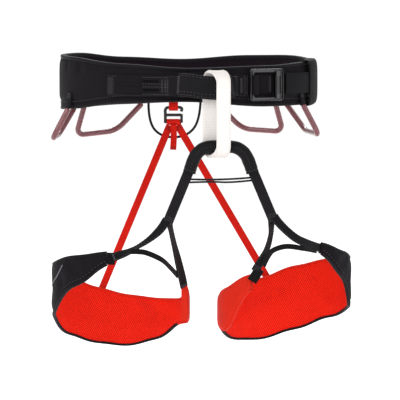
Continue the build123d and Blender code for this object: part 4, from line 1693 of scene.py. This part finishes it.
# ---------------------------------------------------------------- lower tie-in and leg straps
@dataclass
class LegStraps:
    """The lower tie-in loop, the leg risers and the straps that spread to the pads.

    Attributes:
        body: The body that they move with.
        webbing_thick: Thickness of the webbing, metres.
        riser_width: Width of a leg riser, metres.
        branch_width: Width of a strap from a riser to a pad, metres.
        arch_width: Width of an elastic arch, metres.
    """

    body: str = "leg_loops"
    webbing_thick: float = 0.0022
    riser_width: float = 0.012
    branch_width: float = 0.010
    arch_width: float = 0.0064

    def build(self) -> None:
        """Make every strap in front of the legs."""
        self.row: list[Stitch] = []
        self.lower_loop()
        for side in ("left", "right"):
            self.riser(side)
        self.branches()
        self.arches()
        SHOP.hand_over(sewn("leg_strap_stitching", self.row), GREY_THREAD, Slot.BLACK_WEBBING,
                       self.body)

    def lower_loop(self) -> None:
        """Make the padded arch that the belay loop pulls on."""
        low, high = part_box("lower_sleeve")
        y, half = (low.y + high.y) / 2, (high.y - low.y) / 2
        crown, middle = high.z - half, (low.x + high.x) / 2
        wide = (high.x - low.x) / 2 - half * 0.95
        points = [Vector((middle + wide * x, y, crown + drop * MM)) for x, drop in (
            (-1.0, -30.0), (-0.90, -18.5), (-0.74, -7.6), (-0.46, -1.0), (0.0, 0.0),
            (0.46, -1.0), (0.74, -7.6), (0.90, -18.5), (1.0, -30.0))]

        def hem(share: float) -> tuple[float, float]:
            """Draw the sleeve in behind its hems and wrinkle it between them."""
            edge = min(share, 1 - share)
            fold = 0.05 * math.exp(-((edge - 0.035) / 0.012) ** 2)
            wrinkle = 0.012 * math.sin(share * 61) + 0.01 * math.sin(share * 37 + 1)
            return 0.96 - fold + wrinkle, 0.96 - fold - wrinkle

        sleeve = Sweep("lower_padded_sleeve", points, [Vector((0, -1, 0))], half, half,
                       power=2.3, swell=hem, step=0.002, rows=32)
        SHOP.hand_over(sleeve.build(), SLEEVE_CLOTH, Slot.SLEEVE, self.body, "lower_sleeve",
                       "lower_webbing")
        for share in (0.035, 0.965):
            point, tangent, side, normal = sleeve.frame_at(share)
            for turn in np.linspace(-1.2, 1.2, 7):
                out = normal * math.cos(turn) + side * math.sin(turn)
                self.row.append((point + out * half * 0.93, tangent.cross(out), out))
        self.row += sleeve.rail(0.0, lift=0.97, start=0.06, end=0.94)

    def riser(self, side: str) -> None:
        """Make one leg riser, from inside the sleeve down to its split."""
        low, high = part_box(f"leg_riser_{side}")
        way = -1 if side == "left" else 1
        reach = 0.0056
        top = Vector((high.x - reach if way < 0 else low.x + reach, low.y + 0.0012, high.z))
        foot = Vector((low.x + reach if way < 0 else high.x - reach, high.y - 0.0012, low.z))
        points = [top + (top - foot) * 0.07, top, top.lerp(foot, 0.33), top.lerp(foot, 0.66),
                  foot]
        facing = [Vector((0.12 * way, -1, 0)), Vector((0.1 * way, -1, 0)),
                  Vector((0.0, -1, 0)), Vector((-0.15 * way, -1, 0)),
                  Vector((-0.05 * way, -1, 0))]
        riser = Sweep(f"leg_riser_webbing_{side}", points, facing, self.riser_width / 2,
                      self.webbing_thick / 2, power=4)
        SHOP.hand_over(riser.build(), LEG_WEBBING, Slot.BLACK_WEBBING, self.body,
                       f"leg_riser_{side}")
        self.row += riser.bartack(0.95, bars=6) + riser.bartack(0.16, bars=3)

    def branches(self) -> None:
        """Make the four straps from the splits to the pads, each with its own twist."""
        routes = {
            "left_outer": (((-21.9, -107.6, -155.0), (-29.5, -107.0, -166.5),
                            (-42.0, -103.5, -178.0), (-54.5, -98.5, -186.5),
                            (-66.0, -89.5, -193.5), (-79.0, -76.0, -198.8),
                            (-84.5, -73.8, -201.0)),
                           ((0.0, -1, 0), (-0.1, -0.9, 0.35), (-0.35, -0.6, 0.65),
                            (-0.3, -0.5, 0.85), (-0.2, -0.7, 0.6), (-0.1, -1, 0.2),
                            (-0.2, -1, 0.0))),
            "left_inner": (((-19.6, -106.0, -155.5), (-18.0, -100.0, -164.0),
                            (-14.0, -81.0, -184.0), (-9.0, -57.0, -206.0),
                            (-4.6, -35.0, -226.0), (-2.2, -24.0, -238.0)),
                           ((0.3, -1, 0), (0.95, -0.6, 0), (0.9, -0.6, 0), (0.55, -0.9, 0),
                            (0.35, -1, 0), (0.5, -1, 0))),
            "right_outer": (((101.8, -107.6, -151.0), (106.5, -108.0, -157.5),
                             (116.0, -105.0, -167.5), (128.0, -98.0, -177.5),
                             (141.5, -83.0, -184.5), (152.8, -65.5, -189.5),
                             (157.2, -57.8, -190.6)),
                            ((0.0, -1, 0), (0.3, -1, 0.1), (0.5, -1, 0.2), (0.4, -1, 0.25),
                             (0.5, -1, 0.2), (0.6, -1, 0.1), (0.7, -1, 0.1))),
            "right_inner": (((100.2, -105.6, -151.5), (99.2, -101.0, -160.5),
                             (98.5, -93.5, -172.0), (95.0, -85.0, -187.5),
                             (89.0, -75.0, -201.5), (80.4, -66.6, -217.0)),
                            ((0.0, -1, 0), (0.75, -0.8, 0), (0.85, -0.6, 0), (0.8, -0.8, 0),
                             (0.55, -1, 0), (0.2, -1, 0.2))),
        }
        for name, (points, facing) in routes.items():
            branch = Sweep(f"leg_branch_{name}", millimetres(points),
                           [Vector(f) for f in facing], self.branch_width / 2,
                           self.webbing_thick / 2, power=5, step=0.0016)
            SHOP.hand_over(branch.build(), BLACK_WEBBING, Slot.BLACK_WEBBING, self.body,
                           f"branch_{name}")
            for across in (-0.8, 0.8):
                self.row += branch.rail(across, start=0.08, end=0.92)
            self.row += branch.bartack(0.95, bars=5)

    def arches(self) -> None:
        """Make the two elastic arches that keep each leg loop open in front."""
        routes = {
            "left": (((-64.0, -99.0, -192.6), (-55.0, -101.2, -192.6), (-45.0, -100.5, -194.2),
                      (-28.0, -90.0, -202.6), (-17.0, -63.0, -214.6), (-9.6, -38.6, -224.4)),
                     ((0, -1, 0.4), (0, -1, 0.4), (0, -1, 0.4), (0.1, -1, 0.4),
                      (0.3, -1, 0.3), (0.5, -1, 0.2))),
            "right": (((90.2, -72.6, -210.4), (96.0, -84.0, -198.0), (102.5, -93.0, -190.8),
                       (117.0, -99.0, -186.6), (136.0, -92.0, -189.4), (151.0, -71.0, -193.3)),
                      ((-0.5, -1, 0.1), (-0.4, -1, 0.2), (-0.2, -1, 0.4), (0, -1, 0.5),
                       (0.1, -1, 0.5), (0.2, -1, 0.4))),
        }
        for side, (points, facing) in routes.items():
            arch = Sweep(f"leg_arch_elastic_{side}", millimetres(points),
                         [Vector(f) for f in facing], self.arch_width / 2, 0.0008, power=5,
                         step=0.0016)
            SHOP.hand_over(arch.build(), BLACK_ELASTIC, Slot.BLACK_ELASTIC, self.body,
                           f"arch_{side}")


# ---------------------------------------------------------------- leg loops
@dataclass
class LegLoop:
    """One leg loop: a pad with its black shell, red mesh, tab, bindings and end blocks.

    Attributes:
        side: left or right.
        span: Angles where the pad starts and ends, degrees.
        tab_span: Angles of the red tab outside it, degrees.
        front_span: Angles where the upper binding is black, degrees.
        rear_span: Angles where the upper binding is red, degrees.
        ends: Frame nodes of the webbing folded at its ends, and how far each leans, degrees.
        piping_route: Angles and heights of a pale piping line on the shell, degrees and mm.
        depth: Half the depth of its plan, metres.
        section_step: Section to section on the frame's shell, degrees.
        thick: Thickness of the pad, metres.
        tape: Height and thickness of the edge binding, metres.
        seam: Height of the stitched channel over the lower edge and its stand-off, metres.
        body: The body that it moves with.
    """

    side: str
    span: tuple[float, float]
    tab_span: tuple[float, float]
    front_span: tuple[float, float]
    rear_span: tuple[float, float]
    ends: tuple[tuple[str, float], ...]
    piping_route: tuple[tuple[float, float], ...] = ()
    depth: float = 0.070
    section_step: float = 7.0
    thick: float = 0.007
    tape: tuple[float, float] = (0.0030, 0.0044)
    seam: tuple[float, float] = (0.0052, -0.0006)
    body: str = "leg_loops"

    def build(self) -> None:
        """Make and dress the leg loop."""
        oval = Oval.of_node(f"leg_shell_{self.side}", self.depth)
        edges = Edges(f"leg_shell_{self.side}", oval, self.span[0], self.section_step)
        pad = PadBand(f"leg_{self.side}", oval, edges, self.span, self.thick, seam=4, rows=20,
                      step=0.0034, swelling=0.0008, cover=0.0007)
        shell, mesh = pad.build()
        SHOP.hand_over(shell, SHELL_CLOTH, Slot.SHELL, self.body, f"leg_shell_{self.side}",
                       f"leg_foam_{self.side}")
        SHOP.hand_over(mesh, RED_MESH, Slot.LEG_MESH, self.body, f"leg_mesh_{self.side}")
        node = f"leg_binding_{self.side}"
        first = self.tab_span[0] == self.span[0]
        rest = (self.tab_span[1], self.span[1]) if first else (self.span[0], self.tab_span[0])
        for name, upper, span, finish in (
                ("lower", False, rest, BINDING_TAPE),
                ("lower_tab", False, self.tab_span, RED_CLOTH),
                ("upper_front", True, self.front_span, BINDING_TAPE),
                ("upper_rear", True, self.rear_span, RED_CLOTH)):
            part = PadBand("edge", oval, edges, span, self.thick)
            tape = part.binding(f"leg_binding_{self.side}_{name}", upper, *self.tape)
            SHOP.hand_over(tape.build(), finish, Slot.BINDING, self.body, node)
        angle = self.span[0] if first else self.span[1]
        along_edge = oval.normal(angle).cross(Vector((0, 0, 1 if first else -1)))
        low, high = edges.bottom(angle) + 0.0008, edges.top(angle) - 0.0008
        end = Sweep(f"leg_binding_{self.side}_end",
                    [oval.at(angle, -self.thick / 2, low + (high - low) * k / 3)
                     for k in range(4)], [along_edge], self.thick / 2 + 0.0004, 0.0011,
                    power=3, step=0.003, rows=16)
        SHOP.hand_over(end.build(), RED_CLOTH, Slot.BINDING, self.body, node)
        tab = self.tab(pad)
        SHOP.hand_over(tab, RED_CLOTH, Slot.LEG_MESH, self.body, f"inner_tab_{self.side}")
        self.stitching(pad)
        if self.piping_route:
            self.piping(pad)
        for end, lean in self.ends:
            self.end_block(end, lean)

    def tab(self, pad: PadBand) -> bpy.types.Object:
        """Make the red cloth tab that lies over the shell at one end."""
        start, end = self.tab_span
        half = pad.thick / 2 - pad.swelling

        def place(share: float, across: float) -> Vector:
            """Give the tab's point at a share of its length and of its height."""
            angle = start + share * (end - start)
            low, high = pad.edges.bottom(angle), pad.edges.top(angle)
            height = 0.97 * (2 * across - 1)
            bulge = max(0.0, 1 - abs(height) ** 5) ** 0.45
            return pad.oval.at(angle, half * bulge - pad.thick / 2 + 0.0011,
                               (low + high) / 2 + height * (high - low) / 2)

        length = pad.oval.arc(start, end)
        piece = laid_grid(f"leg_red_tab_{self.side}", round(length / 0.003), 16, place,
                          lambda share, across: (share * length, across * 0.05))
        close_up(piece, merge=0.0, fill=False)
        apply_modifier(piece, "SOLIDIFY", thickness=0.0010, offset=0.0)
        apply_modifier(piece, "SUBSURF", levels=1, render_levels=1)
        smooth(piece, 60)
        return piece

    def stitching(self, pad: PadBand) -> None:
        """Sew the channel above the lower edge."""
        row = pad.seam_row(*self.seam)
        SHOP.hand_over(sewn(f"leg_pad_stitching_{self.side}", row), GREY_THREAD, Slot.SHELL,
                       self.body)

    def piping(self, pad: PadBand) -> None:
        """Lay the pale piping line on the outside of the shell."""
        points = [pad.oval.at(angle, 0.0002, height * MM) for angle, height in self.piping_route]
        facing = [pad.oval.normal(angle) for angle, _ in self.piping_route]
        line = Sweep(f"leg_piping_{self.side}", points, facing, 0.0007, 0.0005, power=2,
                     step=0.0015, rows=12)
        SHOP.hand_over(line.build(), GREY_PIPING, Slot.SHELL, self.body)

    def end_block(self, node: str, lean: float) -> None:
        """Make the folded webbing at one end of the pad.

        Args:
            node: The frame node whose box it fills.
            lean: How far it leans to the side, degrees.
        """
        low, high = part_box(node)
        middle, size = (low + high) / 2, high - low
        bpy.ops.object.select_all(action="DESELECT")
        bpy.ops.mesh.primitive_cube_add(size=1, location=middle, scale=size)
        piece = bpy.context.active_object
        bpy.ops.object.transform_apply(location=True, rotation=False, scale=True)
        pick(piece, lambda face: abs(face.normal.z) > 0.5)
        bpy.ops.mesh.inset(thickness=min(size) * 0.18)
        bpy.ops.mesh.select_all(action="SELECT")
        bpy.ops.mesh.subdivide(number_cuts=3)
        bpy.ops.object.mode_set(mode="OBJECT")
        bpy.ops.transform.rotate(value=math.radians(lean), orient_axis="Y",
                                 orient_type="GLOBAL", center_override=middle)
        bpy.ops.object.transform_apply(location=True, rotation=True, scale=True)
        apply_modifier(piece, "BEVEL", width=min(size) * 0.16, segments=3,
                       angle_limit=math.radians(40))
        piece.name = piece.data.name = f"{node}_fold"
        smooth(piece, 40)
        SHOP.hand_over(piece, BLACK_WEBBING, Slot.BLACK_WEBBING, self.body, node)


# ---------------------------------------------------------------- studio
@dataclass
class Studio:
    """Plain pale floor, soft lights and the camera.

    Attributes:
        aim: What the camera looks at.
        distance: From the camera to it, metres.
        elevation: How far above it the camera is, degrees.
        view: Width of what the camera sees there, metres.
        sensor: Width of the camera's sensor, mm.
        floor_drop: From the object's foot down to the floor, metres.
        floor_glow: Light that the floor gives by itself, so that it stays white.
        room_light: Strength of the white world.
        lights: Name, place in metres, size in metres and power in watts of each softbox.
    """

    aim: Vector
    distance: float = 9.0
    elevation: float = 3.0
    view: float = 0.468
    sensor: float = 36.0
    floor_drop: float = 0.04
    floor_glow: float = 0.35
    room_light: float = 0.7
    lights: tuple[tuple[str, Point, float, float], ...] = (
        ("key_softbox", (-1.6, -2.2, 1.5), 1.6, 46), ("fill_softbox", (2.0, -1.8, 0.5), 1.6, 18),
        ("rim_softbox", (0.2, 1.9, 1.6), 1.4, 30))

    def build(self) -> None:
        """Set up the floor, the world, the lights and the camera."""
        low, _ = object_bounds()
        bpy.ops.object.select_all(action="DESELECT")
        bpy.ops.mesh.primitive_plane_add(size=160, location=(0, 0, low[2] - self.floor_drop))
        floor = bpy.context.active_object
        floor.name = "studio_floor"
        paper = bpy.data.materials.new("white_paper_floor")
        paper.use_nodes = True
        shader = paper.node_tree.nodes["Principled BSDF"]
        shader.inputs["Base Color"].default_value = srgb("#fbfbfb")
        shader.inputs["Roughness"].default_value = 0.9
        shader.inputs["Emission Color"].default_value = (1, 1, 1, 1)
        shader.inputs["Emission Strength"].default_value = self.floor_glow
        floor.data.materials.append(paper)
        floor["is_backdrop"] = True
        world = bpy.data.worlds.new("white_room")
        world.use_nodes = True
        world.node_tree.nodes["Background"].inputs[0].default_value = (1, 1, 1, 1)
        world.node_tree.nodes["Background"].inputs[1].default_value = self.room_light
        bpy.context.scene.world = world
        bpy.context.scene.view_settings.view_transform = "Standard"
        for light in self.lights:
            self.softbox(*light)
        tilt = math.radians(self.elevation)
        data = bpy.data.cameras.new("camera")
        data.sensor_width = self.sensor
        data.lens = self.sensor * self.distance / self.view
        data.clip_end = 200
        camera = bpy.data.objects.new("camera", data)
        camera.location = self.aim + Vector((0, -math.cos(tilt), math.sin(tilt))) * self.distance
        camera.rotation_euler = (math.pi / 2 - tilt, 0, 0)
        bpy.context.collection.objects.link(camera)
        bpy.context.scene.camera = camera

    def softbox(self, name: str, place: Point, size: float, power: float) -> None:
        """Add one soft area light that looks at the object.

        Args:
            name: Its name.
            place: Where it stands, metres.
            size: Side of its square, metres.
            power: Watts.
        """
        data = bpy.data.lights.new(name, "AREA")
        data.shape, data.size, data.energy = "SQUARE", size, power
        light = bpy.data.objects.new(name, data)
        light.location = place
        light.rotation_euler = (self.aim - Vector(place)).to_track_quat("-Z", "Y").to_euler()
        bpy.context.collection.objects.link(light)


VIEW_CENTRE = Vector((0.0164, 0, -0.138))


def main() -> None:
    """Build the harness, sub-assembly by sub-assembly."""
    logging.basicConfig(level=logging.INFO, format="%(name)s %(message)s")
    Studio(VIEW_CENTRE).build()
    build_cords()
    belt = WaistBelt()
    belt.build()
    Buckle(belt.oval).build()
    TieIn().build()
    BelayLoop().build()
    GearLoops().build(belt.oval)
    build_haul_tabs()
    RearRisers().build()
    LegStraps().build()
    LegLoop("left", (-14.0, 259.0), (-14.0, 28.0), (176.0, 259.0), (-14.0, 176.0),
            (("leg_keeper_left", 0.0),),
            ((214.4, -211.6), (207.0, -222.7), (199.0, -230.6), (191.5, -236.7))).build()
    LegLoop("right", (-56.0, 238.0), (168.0, 238.0), (-56.0, 4.0), (4.0, 238.0),
            (("leg_keeper_right", -32.0), ("leg_end_bar", 0.0))).build()


if __name__ == "__main__":
    main()
